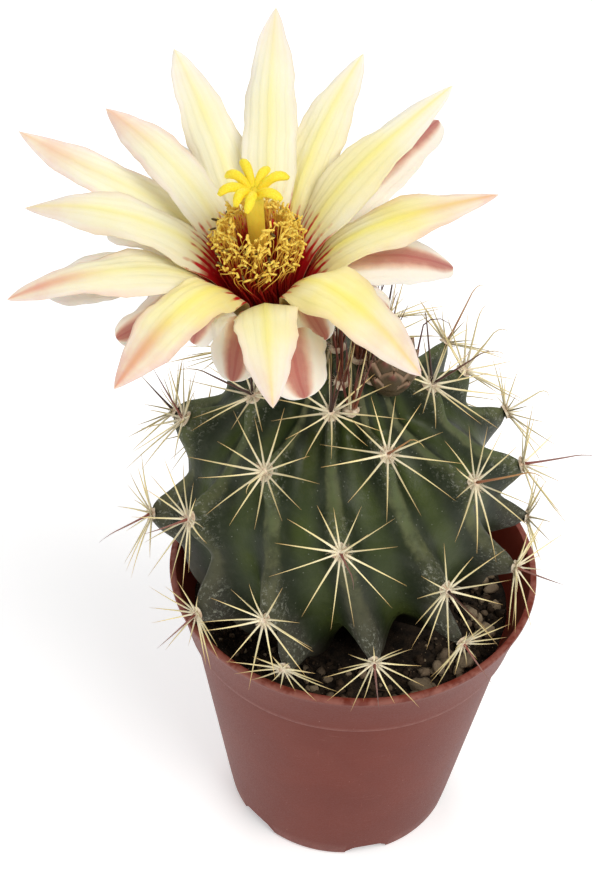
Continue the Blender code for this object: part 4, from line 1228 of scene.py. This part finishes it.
def buildCrown():
    dice = random.Random("crown")
    pile = newPile()
    for x, y, count in crownShape["cushions"]:
        place, normal = crownPlace(x, y)
        across = unit(np.cross(normal, np.array([0.3, 1.0, 0.1])))
        along = np.cross(normal, across)
        addWool(pile, dice, place, normal, across, along, crownShape["padRadius"])
        for i in range(count):
            turn = 2 * math.pi * i / count + dice.uniform(-0.3, 0.3)
            level = across * math.cos(turn) + along * math.sin(turn)
            direction = unit(up * 1.0 + normal * 0.5 + level * dice.uniform(0.05, 0.42))
            length = crownShape["length"] * dice.uniform(0.45, 1.1)
            slot = 1 if dice.random() < 0.78 else 2
            bow = np.array([dice.uniform(-0.15, 0.15), dice.uniform(-0.15, 0.15), 0.1])
            addSpine(pile, dice, place + level * 0.5 * mm, direction, length, crownShape["thick"], slot, bow)
    # one long hooked spine that rises beside the bud
    place, normal = crownPlace(*crownShape["longPlace"])
    direction = unit(np.array(crownShape["longHeading"]))
    addWool(pile, dice, place, normal, unit(np.cross(up, normal)), up, crownShape["longPad"])
    addSpine(pile, dice, place, direction, crownShape["longLength"], crownShape["longThick"], 1,
             np.array([0.0, 0.0, 0.0]), crownShape["longHook"], np.array([0.0, 1.0, 0.0]))
    makePiece("crownSpines", pile, [cushionWool, spineYoung, spineStraw])


buildCrown()
print("crown built")


# flower: its frame stands on the mouth of the tube, leaning a little
flowerShape = {
    "centreOffset": (-10.9 * mm, -11.5 * mm, 17.4 * mm),
    "lean": (-0.04, -0.26, 1.0),
    "mouthDrop": 2.3 * mm,
    "upperRing": 3.9 * mm,
    "upperClaw": (0.5 * mm, 7.4 * mm),
    "middleRing": 4.9 * mm,
    "middleClaw": (0.9 * mm, 5.6 * mm),
    "outerRing": 5.9 * mm,
    "outerClaw": (1.4 * mm, 3.2 * mm),
    "cupRadius": 3.4 * mm,
    "cupDepth": 5.0 * mm,
    "twist": -3.0,
}
flowerAxis = unit(np.array(flowerShape["lean"]))
flowerFront = unit(np.array([0.0, -1.0, 0.0]) + flowerAxis * flowerAxis[1])
flowerRight = unit(np.cross(flowerFront, -flowerAxis))
flowerCentre = np.array([stemAxis[0], stemAxis[1], stemHigh.z]) + np.array(flowerShape["centreOffset"])
cupFloor = -flowerShape["mouthDrop"] - flowerShape["cupDepth"] + 0.4 * mm


def flowerPoint(azimuth, radius, height):
    turn = np.radians(azimuth)
    out = np.multiply.outer(np.cos(turn), flowerFront) + np.multiply.outer(np.sin(turn), flowerRight)
    level = out * np.asarray(radius)[..., None]
    return flowerCentre + level + np.multiply.outer(np.asarray(height), flowerAxis)


def bezier(controls, at):
    a, b, c, d = (np.asarray(point, float) for point in controls)
    left = (1.0 - at)[..., None]
    at = at[..., None]
    return a * left ** 3 + b * 3 * left ** 2 * at + c * 3 * left * at ** 2 + d * at ** 3


# azimuth at the ring, azimuth at the tip, tip radius, tip height, arch and width, in degrees and mm;
# the inner ones then have their share of blush and of gold
innerPetals = [
    (12, 9, 22, 6.0, 7.0, 6.6, 0.50, 0.62), (48, 50, 26, 6.5, 8.0, 7.2, 0.55, 0.85),
    (95, 106, 29, 8.0, 2.5, 6.4, 0.65, 0.85),
    (122, 134, 31, 12.0, 0.5, 6.2, 0.10, 0.60), (148, 160, 31, 12.0, -1.0, 5.8, 0.15, 0.55),
    (173, 180, 33, 14.0, 0.5, 6.0, 0.20, 0.30), (198, 204, 32, 12.5, -1.0, 5.8, 0.20, 0.30),
    (222, 229, 27, 11.5, 1.5, 5.6, 0.60, 0.25), (246, 243, 34, 8.5, 2.0, 6.0, 0.60, 0.20),
    (270, 261, 29, 8.5, 4.5, 6.2, 0.40, 0.45), (296, 285, 30, 7.0, 3.5, 6.2, 0.75, 0.35),
    (334, 324, 25, 6.5, 6.5, 6.8, 0.78, 0.90),
]
outerPetals = [
    (26, 22, 20, 2.0, 5.0, 5.6), (58, 44, 14, 4.0, 3.0, 4.2), (83, 74, 17, 3.0, 3.0, 4.6),
    (111, 99, 24, 3.5, 2.0, 5.0),
    (137, 137, 30, 7.0, 0.0, 5.0), (167, 163, 22, 4.0, 0.5, 4.4), (210, 216, 24, 6.0, 0.5, 5.0),
    (236, 249, 21, 4.0, 1.5, 4.4), (263, 275, 27, 3.5, 2.5, 5.0), (290, 302, 20, 2.5, 3.5, 5.2),
    (318, 325, 14, 4.0, 3.0, 4.0), (350, 353, 17, 2.5, 5.0, 4.6),
]
petalShape = {
    # width factor, claw's share of the width, how late the tip narrows, how round it ends, its downward nod
    "inner": (1.10, 0.46, 3.0, 0.80, 0.0),
    "outer": (1.50, 0.46, 5.2, 0.42, 1.6 * mm),
    "stations": 34,
    "across": 17,
    "midThick": 0.42 * mm,
    "curl": 1.6 * mm,
    "edgeThick": 0.10 * mm,
    "cup": 0.16,
    "ruffle": 0.17,
    "ragged": 0.045,
    "groove": 0.14 * mm,
}


def petalHalf(share, width, claw, late, roundness):
    grown = np.clip(share / 0.6, 0, 1) ** 1.25
    rising = claw + (1.0 - claw) * (3 * grown ** 2 - 2 * grown ** 3)
    left = np.clip((share - 0.6) / 0.4, 0, 1)
    return width / 2 * np.where(share < 0.6, rising, np.maximum(0.02, (1.0 - left ** late) ** roundness))


def buildPetal(name, node, ring, claw, values, material, broad, blush, gold):
    rootAzimuth, tipAzimuth, reach, height, arch, width = values
    shape = petalShape
    dice = random.Random(name)
    # stations crowd towards the tip, so that its rounding comes out
    share = np.sin(np.linspace(0.0, math.pi / 2, shape["stations"] + 1))
    at = share ** 1.15
    azimuth = rootAzimuth + (tipAzimuth - rootAzimuth) * (1.0 - (1.0 - at) ** 2)
    seat = flowerShape["mouthDrop"] - 0.3 * mm
    controls = [(ring, -seat), (ring + claw[0], claw[1]), (0.42 * reach * mm, (height + arch) * mm),
                (reach * mm, height * mm)]
    here = bezier(controls, at)
    ahead = bezier(controls, np.minimum(1.0, at + 0.02))
    behind = bezier(controls, np.maximum(0.0, at - 0.02))
    centre = flowerPoint(azimuth, here[:, 0], here[:, 1])
    along = unit(flowerPoint(azimuth, ahead[:, 0], ahead[:, 1])
                 - flowerPoint(azimuth, behind[:, 0], behind[:, 1]))
    side = flowerPoint(azimuth + 90.0, np.ones(len(share)), np.zeros(len(share))) - flowerCentre
    roll = np.radians(flowerShape["twist"] * math.sin(math.radians(tipAzimuth)) * np.minimum(1.0, 2 * at))
    side = side * np.cos(roll)[:, None] + np.cross(along, side) * np.sin(roll)[:, None]
    # out of the underside
    face = unit(np.cross(side, along))
    half = petalHalf(share, width * broad[0] * mm, *broad[1:4])
    # each blade sways a little sideways, its edges ruffle, and its tip nods or lifts
    sway = dice.uniform(-0.6, 0.6) * mm
    centre = centre + side * (sway * np.sin(share * math.pi * 1.4))[:, None]
    tipLift = dice.uniform(-1.0, 1.0) * shape["curl"]
    centre = centre + face * (tipLift * np.clip((share - 0.8) / 0.2, 0, 1) ** 2)[:, None]
    centre = centre + face * (broad[4] * np.clip((share - 0.5) / 0.5, 0, 1) ** 2)[:, None]
    phase = dice.uniform(0, 6.28)
    waves = dice.uniform(1.6, 2.8)
    across = np.linspace(-1.0, 1.0, shape["across"])
    across = np.sign(across) * np.abs(across) ** 0.9
    rows = []
    for sign in (1.0, -1.0):
        for v in across:
            edge = abs(v)
            ruffle = shape["ruffle"] * half * edge ** 3 * np.sin(share * waves * 6.28 + phase + v * 1.3)
            ruffle = ruffle * np.clip(share * 3, 0, 1)
            cupped = shape["cup"] * half * edge ** 2 + ruffle
            groove = shape["groove"] * math.exp(-(v / 0.16) ** 2) * np.sin(share * math.pi)
            ragged = np.sin(share * 37.0 + phase * 3 + v * 2) + 0.6 * np.sin(share * 83.0 + phase + v * 5)
            notch = 1.0 + shape["ragged"] * ragged * np.clip((share - 0.3) * 2, 0, 1) * edge
            thick = (shape["edgeThick"] + (shape["midThick"] - shape["edgeThick"]) * (1.0 - edge ** 1.5)) / 2
            thick = thick * (1.0 - 0.55 * share)
            offset = cupped - groove + sign * thick
            rows.append(centre + side * (half * v * notch)[:, None] + face * offset[:, None])
    # columns run round the blade: across its underside, then back over its upper face
    loop = rows[:len(across)] + rows[len(across):][::-1]
    points = np.stack(loop, axis=1).reshape(-1, 3)
    columns = len(loop)
    faces = gridFaces(len(share), columns)
    faces.append(tuple(reversed(range(columns))))
    faces.append(tuple(range(len(points) - columns, len(points))))
    acrossValues = np.tile(np.concatenate([across, across[::-1]]), len(share))
    backValues = np.tile(np.concatenate([np.ones(len(across)), np.zeros(len(across))]), len(share))
    pile = newPile()
    addTo(pile, points, faces, across=acrossValues, along=np.repeat(share, columns), back=backValues,
          blush=blush, gold=gold)
    makePiece(name, pile, [material], [node])


def buildPetals():
    shape = flowerShape
    for i, values in enumerate(innerPetals):
        row = "upper" if i % 2 else "middle"
        ring, claw = shape[row + "Ring"], shape[row + "Claw"]
        buildPetal(f"innerPetal{i + 1:02d}", f"petal_inner_{i + 1:02d}", ring, claw, values[:6], petalLemon,
                   petalShape["inner"], values[6], values[7])
    for i, values in enumerate(outerPetals):
        # the front ones are a little shorter than the space they have, the back ones a little longer
        front = math.cos(math.radians(values[1]))
        values = (*values[:2], values[2] * (0.985 - 0.055 * front), *values[3:])
        buildPetal(f"outerPetal{i + 1:02d}", f"petal_outer_{i + 1:02d}", shape["outerRing"],
                   shape["outerClaw"], values, petalBlush, petalShape["outer"], 0.5, 0.0)


buildPetals()
print("petals built")


stamenShape = {
    "count": 360,
    "height": 14.5 * mm,
    "spread": 6.0 * mm,
    "thick": 0.075 * mm,
    "antherLength": 0.50 * mm,
    "antherWidth": 0.23 * mm,
}


def buildStamens():
    # threads rise close round the style, then curl outwards to their anthers
    shape = stamenShape
    dice = random.Random("stamens")
    pile = newPile()
    ball, ballFaces = ballPoints(4, 6)
    for _ in range(shape["count"]):
        azimuth = dice.uniform(0, 360)
        level = math.sqrt(dice.uniform(0.06, 1.0))
        rootRadius = 1.3 * mm + (flowerShape["cupRadius"] - 1.8 * mm) * level
        tipRadius = 1.7 * mm + (shape["spread"] - 1.7 * mm) * level * dice.uniform(0.75, 1.0)
        tipHeight = shape["height"] * (1.0 - 0.38 * level ** 2.0) * dice.uniform(0.82, 1.0)
        drift = dice.uniform(-26, 26)
        controls = [(rootRadius, cupFloor), (rootRadius + 0.3 * mm, tipHeight * 0.35),
                    (tipRadius * dice.uniform(0.7, 1.15), tipHeight * dice.uniform(0.65, 0.95)),
                    (tipRadius, tipHeight)]
        share = np.linspace(0, 1, 9)
        curve = bezier(controls, share)
        turn = azimuth + drift * share ** 2 + 9 * np.sin(share * dice.uniform(5, 9))
        path = flowerPoint(turn, curve[:, 0], curve[:, 1])
        tone = dice.random()
        points, faces = sweep(path, shape["thick"] * (1.0 - 0.35 * share), 4)
        addTo(pile, points, faces, 0, along=np.repeat(share, 4), tone=tone)
        # the anther hangs at a slant on the thread's end
        tilt = unit(np.array([dice.uniform(-1, 1), dice.uniform(-1, 1), dice.uniform(-0.3, 1)]))
        side = unit(np.cross(tilt, np.array([0.3, 0.5, 0.8])))
        other = np.cross(tilt, side)
        sac = ball * np.array([shape["antherWidth"], shape["antherWidth"] * 0.8, shape["antherLength"]])
        sac = sac * dice.uniform(0.8, 1.15)
        waist = 1.0 - 0.22 * np.exp(-(ball[:, 2] / 0.3) ** 2)
        sac[:, :2] *= waist[:, None]
        placed = path[-1] + sac[:, :1] * side + sac[:, 1:2] * other + sac[:, 2:] * tilt
        addTo(pile, placed, ballFaces, 1, along=1.0, tone=tone)
    makePiece("stamenTuft", pile, [stamenThread, anther], ["stamens"])


buildStamens()
print("stamens built")


styleShape = {
    "radius": 1.0 * mm,
    "height": 17.0 * mm,
    "lobes": 8,
    "lobeThick": 0.52 * mm,
    "lobeReach": 3.5 * mm,
}


def buildStyle():
    # a thick rod, and blunt lobes that arch out of its top and lift at their ends
    shape = styleShape
    dice = random.Random("style")
    pile = newPile()
    share = np.linspace(0, 1, 26)
    heights = cupFloor + (shape["height"] + 0.35 * mm - cupFloor) * share
    radii = shape["radius"] * (0.95 + 0.10 * share + 0.22 * np.clip((share - 0.9) / 0.1, 0, 1))
    radii[-1] *= 0.55
    radii[-2] *= 0.9
    path = flowerPoint(np.zeros_like(share), np.zeros_like(share), heights)
    points, faces = sweep(path, radii, 20)
    addTo(pile, points, faces, 0, along=np.repeat(share * 0.6, 20))
    for i in range(shape["lobes"]):
        azimuth = 360.0 * i / shape["lobes"] + dice.uniform(-9, 9) + 12
        reach = shape["lobeReach"] * dice.uniform(0.82, 1.12)
        lift = dice.uniform(1.0, 1.9) * mm
        curl = dice.uniform(-12, 12)
        controls = [(0.3 * mm, shape["height"] - 0.9 * mm), (0.9 * mm, shape["height"] + 0.5 * mm),
                    (reach * 0.66, shape["height"] + lift * 1.6),
                    (reach + 0.3 * mm, shape["height"] + lift * 0.45)]
        at = np.linspace(0, 1, 12)
        curve = bezier(controls, at)
        path = flowerPoint(azimuth + curl * at ** 2, curve[:, 0], curve[:, 1])
        radii = shape["lobeThick"] * np.array([0.9, 1, 1, 1, 1.0, 1.0, 1.03, 1.08, 1.10, 1.05, 0.90, 0.50])
        points, faces = sweep(path, radii, 10)
        bumps = np.array([noise.noise(Vector(p) * 2600.0) for p in points.tolist()]) * 0.05 * mm
        points = points + unit(points - np.repeat(path, 10, axis=0)) * bumps[:, None]
        addTo(pile, points, faces, 0, along=np.repeat(0.6 + 0.4 * at, 10))
    makePiece("styleAndStigma", pile, [stigmaYellow], ["style"])


buildStyle()
print("style built")


# tube and bud, both clothed in scales
tubeShape = {
    "footOffset": (-4.6 * mm, -3.45 * mm),
    "start": (-0.25, -0.25, 0.94),
    "radius": 3.0 * mm,
    "profile": [(0.0, 0.95), (0.12, 1.12), (0.3, 1.05), (0.5, 0.95), (0.7, 1.1), (0.86, 1.5), (1.0, 2.2)],
    "whorls": 7,
    "scalesPerWhorl": 6,
    "scaleLength": 3.4 * mm,
    "scaleWidth": 2.9 * mm,
    "scaleLift": 0.4 * mm,
    "stations": 26,
    "sides": 32,
    # the cup below the mouth: radius and drop in millimetres
    "cup": [(6.5, 0.0), (5.2, 0.15), (4.0, 0.0), (3.5, 0.6), (3.3, 2.4), (2.6, 5.0), (0.3, 5.2)],
}
budShape = {
    "offset": (5.52 * mm, -4.6 * mm),
    "lean": (0.08, -0.08, 1.0),
    "length": 10.5 * mm,
    "radius": 3.3 * mm,
    "profile": [(0.0, 0.55), (0.14, 0.88), (0.38, 1.0), (0.62, 0.86), (0.82, 0.52), (0.94, 0.2), (1.0, 0.04)],
    # how many scales in each whorl, from the foot up
    "whorls": [6, 6, 6, 6, 5, 5],
    "scaleLength": 4.2 * mm,
    "scaleLift": 0.22 * mm,
}


def profileAt(shape, at):
    return np.interp(at, *zip(*shape["profile"]))


def footAt(offset, height):
    # a point at a level offset from the stem's axis
    return np.array([stemAxis[0] + offset[0], stemAxis[1] + offset[1], height])


def ringFrame(along):
    side = unit(flowerRight - along * flowerRight.dot(along))
    return side, np.cross(along, side)


def addScale(pile, centre, out, along, length, width, lift, tone):
    # a shield-shaped scale that hugs the body and frees its tip
    stations, columns = 7, 7
    side = np.cross(along, out)
    top = []
    under = []
    values = []
    for station in range(stations):
        share = station / (stations - 1)
        shield = math.sin(math.pi * min(1.0, 0.28 + 0.72 * share)) ** 0.7 if share < 0.999 else 0.06
        half = width / 2 * max(0.05, shield)
        for i in range(columns):
            v = -1.0 + 2.0 * i / (columns - 1)
            sag = width * 0.20 * v * v * (1.0 - 0.3 * share)
            place = centre + along * length * share + side * half * v + out * (lift * share ** 2 - sag)
            top.append(place + out * 0.10 * mm)
            under.append(place - out * 0.14 * mm)
            values.append((v, share))
    count = stations * columns
    faces = gridFaces(stations, columns, False)
    faces += [tuple(count + k for k in reversed(face)) for face in faces[:]]
    rim = list(range(columns)) + [columns * s + columns - 1 for s in range(1, stations)]
    rim += [count - 1 - i for i in range(1, columns)] + [columns * s for s in range(stations - 2, 0, -1)]
    for k in range(len(rim)):
        a, b = rim[k], rim[(k + 1) % len(rim)]
        faces.append((b, a, count + a, count + b))
    values = np.array(values + values)
    addTo(pile, np.array(top + under), faces, 0, across=values[:, 0], along=values[:, 1], tone=tone)


def buildTube():
    shape = tubeShape
    dice = random.Random("tube")
    foot = footAt(shape["footOffset"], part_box("flower_tube")[0].z + 0.2 * mm)
    mouth = flowerCentre - flowerAxis * flowerShape["mouthDrop"]
    pull = np.linalg.norm(mouth - foot) / 3
    controls = [foot, foot + unit(np.array(shape["start"])) * pull, mouth - flowerAxis * pull, mouth]
    stations, sides = shape["stations"], shape["sides"]
    share = np.linspace(0, 1, stations)
    path = bezier(controls, share)
    widths = profileAt(shape, share) * shape["radius"]
    points, faces = sweep(path, widths, sides, False)
    pile = newPile()
    addTo(pile, points, faces, 0, across=0.0, along=0.2, tone=0.5)
    # the mouth turns in to the cup that holds the stamens
    rings = []
    turn = np.arange(sides) * 360.0 / sides
    for radius, drop in shape["cup"]:
        level = -flowerShape["mouthDrop"] - drop * mm
        rings.append(flowerPoint(turn, np.full(sides, radius * mm), np.full(sides, level)))
    addTo(pile, np.concatenate(rings), gridFaces(len(rings), sides), 0, across=0.0, along=0.8, tone=0.5)
    tangents = unit(np.gradient(path, axis=0))
    for whorl in range(shape["whorls"]):
        at = 0.10 + 0.78 * whorl / (shape["whorls"] - 1)
        index = int(at * (stations - 1))
        side, other = ringFrame(tangents[index])
        for i in range(shape["scalesPerWhorl"]):
            turn = 2 * math.pi * (i + 0.5 * (whorl % 2)) / shape["scalesPerWhorl"] + dice.uniform(-0.1, 0.1)
            out = side * math.cos(turn) + other * math.sin(turn)
            root = path[index] + out * (widths[index] + 0.05 * mm)
            heading = unit(tangents[index] + out * 0.25 * at)
            length = shape["scaleLength"] * (0.8 + 0.6 * at)
            width = shape["scaleWidth"] * (0.8 + 0.5 * at)
            addScale(pile, root, out, heading, length, width, shape["scaleLift"], dice.random())
    makePiece("flowerTube", pile, [tubeScale], ["flower_tube"])


def buildBud():
    shape = budShape
    dice = random.Random("bud")
    axis = unit(np.array(shape["lean"]))
    foot = footAt(shape["offset"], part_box("bud")[0].z + 0.5 * mm)
    share = np.linspace(0, 1, 20)
    widths = profileAt(shape, share) * shape["radius"] * 0.94
    path = foot + np.multiply.outer(share * shape["length"], axis)
    points, faces = sweep(path, widths, 28)
    pile = newPile()
    addTo(pile, points, faces, 0, across=0.0, along=0.3, tone=0.5)
    side, other = ringFrame(axis)
    for whorl, count in enumerate(shape["whorls"]):
        at = 0.04 + 0.14 * whorl
        width = float(profileAt(shape, at)) * shape["radius"]
        slope = float(profileAt(shape, at + 0.2) - profileAt(shape, at)) * shape["radius"]
        for i in range(count):
            turn = 2 * math.pi * (i + 0.5 * (whorl % 2)) / count + dice.uniform(-0.12, 0.12)
            out = side * math.cos(turn) + other * math.sin(turn)
            lean = unit(axis * 0.2 * shape["length"] + out * slope)
            face = unit(out - lean * out.dot(lean))
            root = foot + axis * at * shape["length"] + out * width * 0.95
            length = shape["scaleLength"] * (1.0 - 0.25 * at)
            spread = width * (1.35 if whorl else 1.2)
            addScale(pile, root, face, lean, length, spread, shape["scaleLift"], dice.random())
    makePiece("scalyBud", pile, [budScale], ["bud"])


buildTube()
buildBud()
print("tube and bud built")


# soil and gravel
soilShape = {
    "crumbs": 620,
    "grit": 120,
    "crumbSize": (0.35 * mm, 1.1 * mm),
    "gritSize": (0.35 * mm, 0.95 * mm),
    "steps": 120,
    "rings": 16,
    "innerRadius": 3.0 * mm,
    "skirt": 4 * mm,
    "fibres": 60,
    # in millimetres
    "fibreLength": (1.5, 4.0),
    "fibreThick": 0.10,
    # the larger grit at one side: how many, from and to which azimuth, nearest to the axis, size
    "sideGrit": 38,
    "sideAzimuth": (20, 112),
    "sideNearest": 17.5,
    "sideSize": (0.6, 1.35),
}


def soilHeightAt(x, y):
    waves = 0.7 * mm * noise.noise(Vector((x, y, 0.3)) * 260.0)
    grains = 0.3 * mm * noise.noise(Vector((x, y, 5.0)) * 900.0)
    return soilTop - 0.55 * mm + waves + grains


def soilSpot(dice, nearest, margin):
    # a random place on the ring of soil round the stem
    outer = wallInside(soilTop) / mm - margin
    radius = math.sqrt(dice.uniform(nearest ** 2, outer ** 2)) * mm
    turn = dice.uniform(0, 2 * math.pi)
    return radius * math.cos(turn), radius * math.sin(turn)


def addLump(pile, dice, template, templateFaces, centre, size, squash, slot, tone, jag=0.3):
    # a knobbly grain: a ball pushed in and out by noise, turned at random
    seed = Vector((dice.uniform(-50, 50), dice.uniform(-50, 50), dice.uniform(-50, 50)))
    shifted = np.array([1.0 + jag * noise.noise(Vector(p) * 1.1 + seed) * 1.6
                        + jag * 0.5 * noise.noise(Vector(p) * 2.6 + seed) for p in template.tolist()])
    points = template * shifted[:, None] * np.array([size, size * dice.uniform(0.65, 0.95), size * squash])
    turn = Matrix.Rotation(dice.uniform(0, 6.28), 3, "Z") @ Matrix.Rotation(dice.uniform(-0.5, 0.5), 3, "X")
    points = points @ np.array(turn).T + centre
    addTo(pile, points, templateFaces, slot, tone=tone)


def buildSoil():
    dice = random.Random("soil")
    pile = newPile()
    steps, rings, inner = soilShape["steps"], soilShape["rings"], soilShape["innerRadius"]
    outer = wallInside(soilTop) - 0.15 * mm
    points = []
    for ring in range(rings + 1):
        for i in range(steps):
            turn = 2 * math.pi * i / steps
            radius = inner + (outer - inner) * ring / rings
            x = radius * math.cos(turn)
            y = radius * math.sin(turn)
            points.append((x, y, soilHeightAt(x, y)))
    for i in range(steps):
        turn = 2 * math.pi * i / steps
        radius = wallInside(soilTop - soilShape["skirt"]) - 0.2 * mm
        points.append((radius * math.cos(turn), radius * math.sin(turn), soilTop - soilShape["skirt"]))
    addTo(pile, points, [face[::-1] for face in gridFaces(rings + 2, steps)], 0, tone=0.2)
    crumb, crumbFaces = ballPoints(4, 6)
    for _ in range(soilShape["crumbs"]):
        x, y = soilSpot(dice, 14.0, 1.0)
        size = dice.uniform(*soilShape["crumbSize"]) * dice.uniform(0.6, 1.0)
        centre = np.array([x, y, soilHeightAt(x, y) + size * 0.25])
        addLump(pile, dice, crumb, crumbFaces, centre, size, dice.uniform(0.5, 0.9), 0, dice.random(), 0.45)
    # stray fibres and dead spines lie across the crumbs
    for _ in range(soilShape["fibres"]):
        x, y = soilSpot(dice, 15.0, 2.0)
        turn = dice.uniform(0, 6.28)
        start = np.array([x, y, soilHeightAt(x, y) + 0.5 * mm])
        heading = np.array([math.cos(turn), math.sin(turn), dice.uniform(-0.1, 0.25)])
        path = spinePath(start, unit(heading), dice.uniform(*soilShape["fibreLength"]) * mm,
                         np.array([0.0, 0.0, -0.25]), 4)
        if np.linalg.norm(path[-1][:2]) < wallInside(soilTop) - 0.6 * mm:
            points, faces = sweep(path, np.array([0.8, 1.0, 0.9, 0.7, 0.4]) * soilShape["fibreThick"] * mm, 4)
            addTo(pile, points, faces, 0, tone=dice.uniform(0.5, 1.0))
    makePiece("soilBed", pile, [pottingSoil], ["soil"])


def buildGravel():
    dice = random.Random("gravel")
    pile = newPile()
    large, largeFaces = ballPoints(8, 12)
    small, smallFaces = ballPoints(5, 8)
    for index in range(5):
        low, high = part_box(f"gravel_{index + 1}")
        centre = (np.array(low) + np.array(high)) / 2 - up * 0.5 * mm
        half = (high - low) / 2
        widest = max(half.x, half.y)
        addLump(pile, dice, large, largeFaces, centre, widest * 0.98, half.z / widest, 0,
                dice.uniform(0.2, 0.7), 0.32)
    for _ in range(soilShape["grit"]):
        x, y = soilSpot(dice, 15.0, 1.4)
        size = dice.uniform(*soilShape["gritSize"]) * dice.uniform(0.5, 1.0)
        centre = np.array([x, y, soilHeightAt(x, y) + size * 0.45])
        addLump(pile, dice, small, smallFaces, centre, size, dice.uniform(0.6, 0.9), 0, dice.random(), 0.4)
    # more of the larger grit gathers at the side where the stones lie
    for _ in range(soilShape["sideGrit"]):
        azimuth = dice.uniform(*soilShape["sideAzimuth"])
        reach = dice.uniform(soilShape["sideNearest"], wallInside(soilTop) / mm - 1.6) * mm
        x, y = (around(np.array(azimuth)) * reach)[:2]
        size = dice.uniform(*soilShape["sideSize"]) * mm * dice.uniform(0.6, 1.0)
        centre = np.array([x, y, soilHeightAt(x, y) + size * 0.5])
        addLump(pile, dice, small, smallFaces, centre, size, dice.uniform(0.6, 0.9), 0, dice.random(), 0.4)
    makePiece("gravelStones", pile, [gravelStone], [f"gravel_{i + 1}" for i in range(5)])


buildSoil()
buildGravel()
print("soil and gravel built")


# floor and light
studio = {
    "floorColour": (0.97, 0.97, 0.97),
    "floorShade": (0.88, 0.88, 0.88),
    "floorReach": 3.0,
    "floorGlow": 0.30,
    "worldColour": (1.0, 1.0, 1.0),
    "worldStrength": 0.33,
    # name, place, size, power, colour
    "lamps": [
        ("keyLight", (0.34, -0.30, 0.62), 0.46, 3.3, (1.0, 0.985, 0.96)),
        ("fillLight", (-0.52, -0.34, 0.42), 0.50, 1.3, (0.97, 0.985, 1.0)),
        ("backLight", (-0.10, 0.55, 0.50), 0.50, 1.6, (1.0, 1.0, 1.0)),
    ],
    "aim": (0.0, 0.0, 0.07),
}


def buildStage():
    mesh = bpy.data.meshes.new("floor")
    reach = studio["floorReach"]
    corners = [(-reach, -reach, 0), (reach, -reach, 0), (reach, reach, 0), (-reach, reach, 0)]
    mesh.from_pydata(corners, [], [(0, 1, 2, 3)])
    floor = addObject("floor", mesh)
    floor.location.z = -0.0002
    made, tree, shader = newMaterial("paleFloor", Specular_IOR_Level=0.1)
    tone = linear(tree, noiseValue(tree, 3.0, 2.0), 0.01, 0.0)
    colour = mixColour(tree, tone, studio["floorColour"], studio["floorShade"])
    tree.links.new(colour, shader.inputs["Base Color"])
    shader.inputs["Roughness"].default_value = 0.9
    shader.inputs["Emission Color"].default_value = (1.0, 1.0, 1.0, 1.0)
    shader.inputs["Emission Strength"].default_value = studio["floorGlow"]
    mesh.materials.append(made)


def buildLights():
    world = bpy.data.worlds.new("studio")
    world.use_nodes = True
    background = world.node_tree.nodes["Background"]
    background.inputs["Color"].default_value = (*studio["worldColour"], 1.0)
    background.inputs["Strength"].default_value = studio["worldStrength"]
    bpy.context.scene.world = world
    for name, place, size, power, colour in studio["lamps"]:
        data = bpy.data.lights.new(name, "AREA")
        data.shape = "DISK"
        data.size = size
        data.energy = power
        data.color = colour
        lamp = addObject(name, data)
        lamp.location = place
        lamp.rotation_euler = (Vector(studio["aim"]) - Vector(place)).to_track_quat("-Z", "Y").to_euler()
    bpy.context.scene.view_settings.view_transform = "Standard"


buildStage()
buildLights()
print("floor and light set")

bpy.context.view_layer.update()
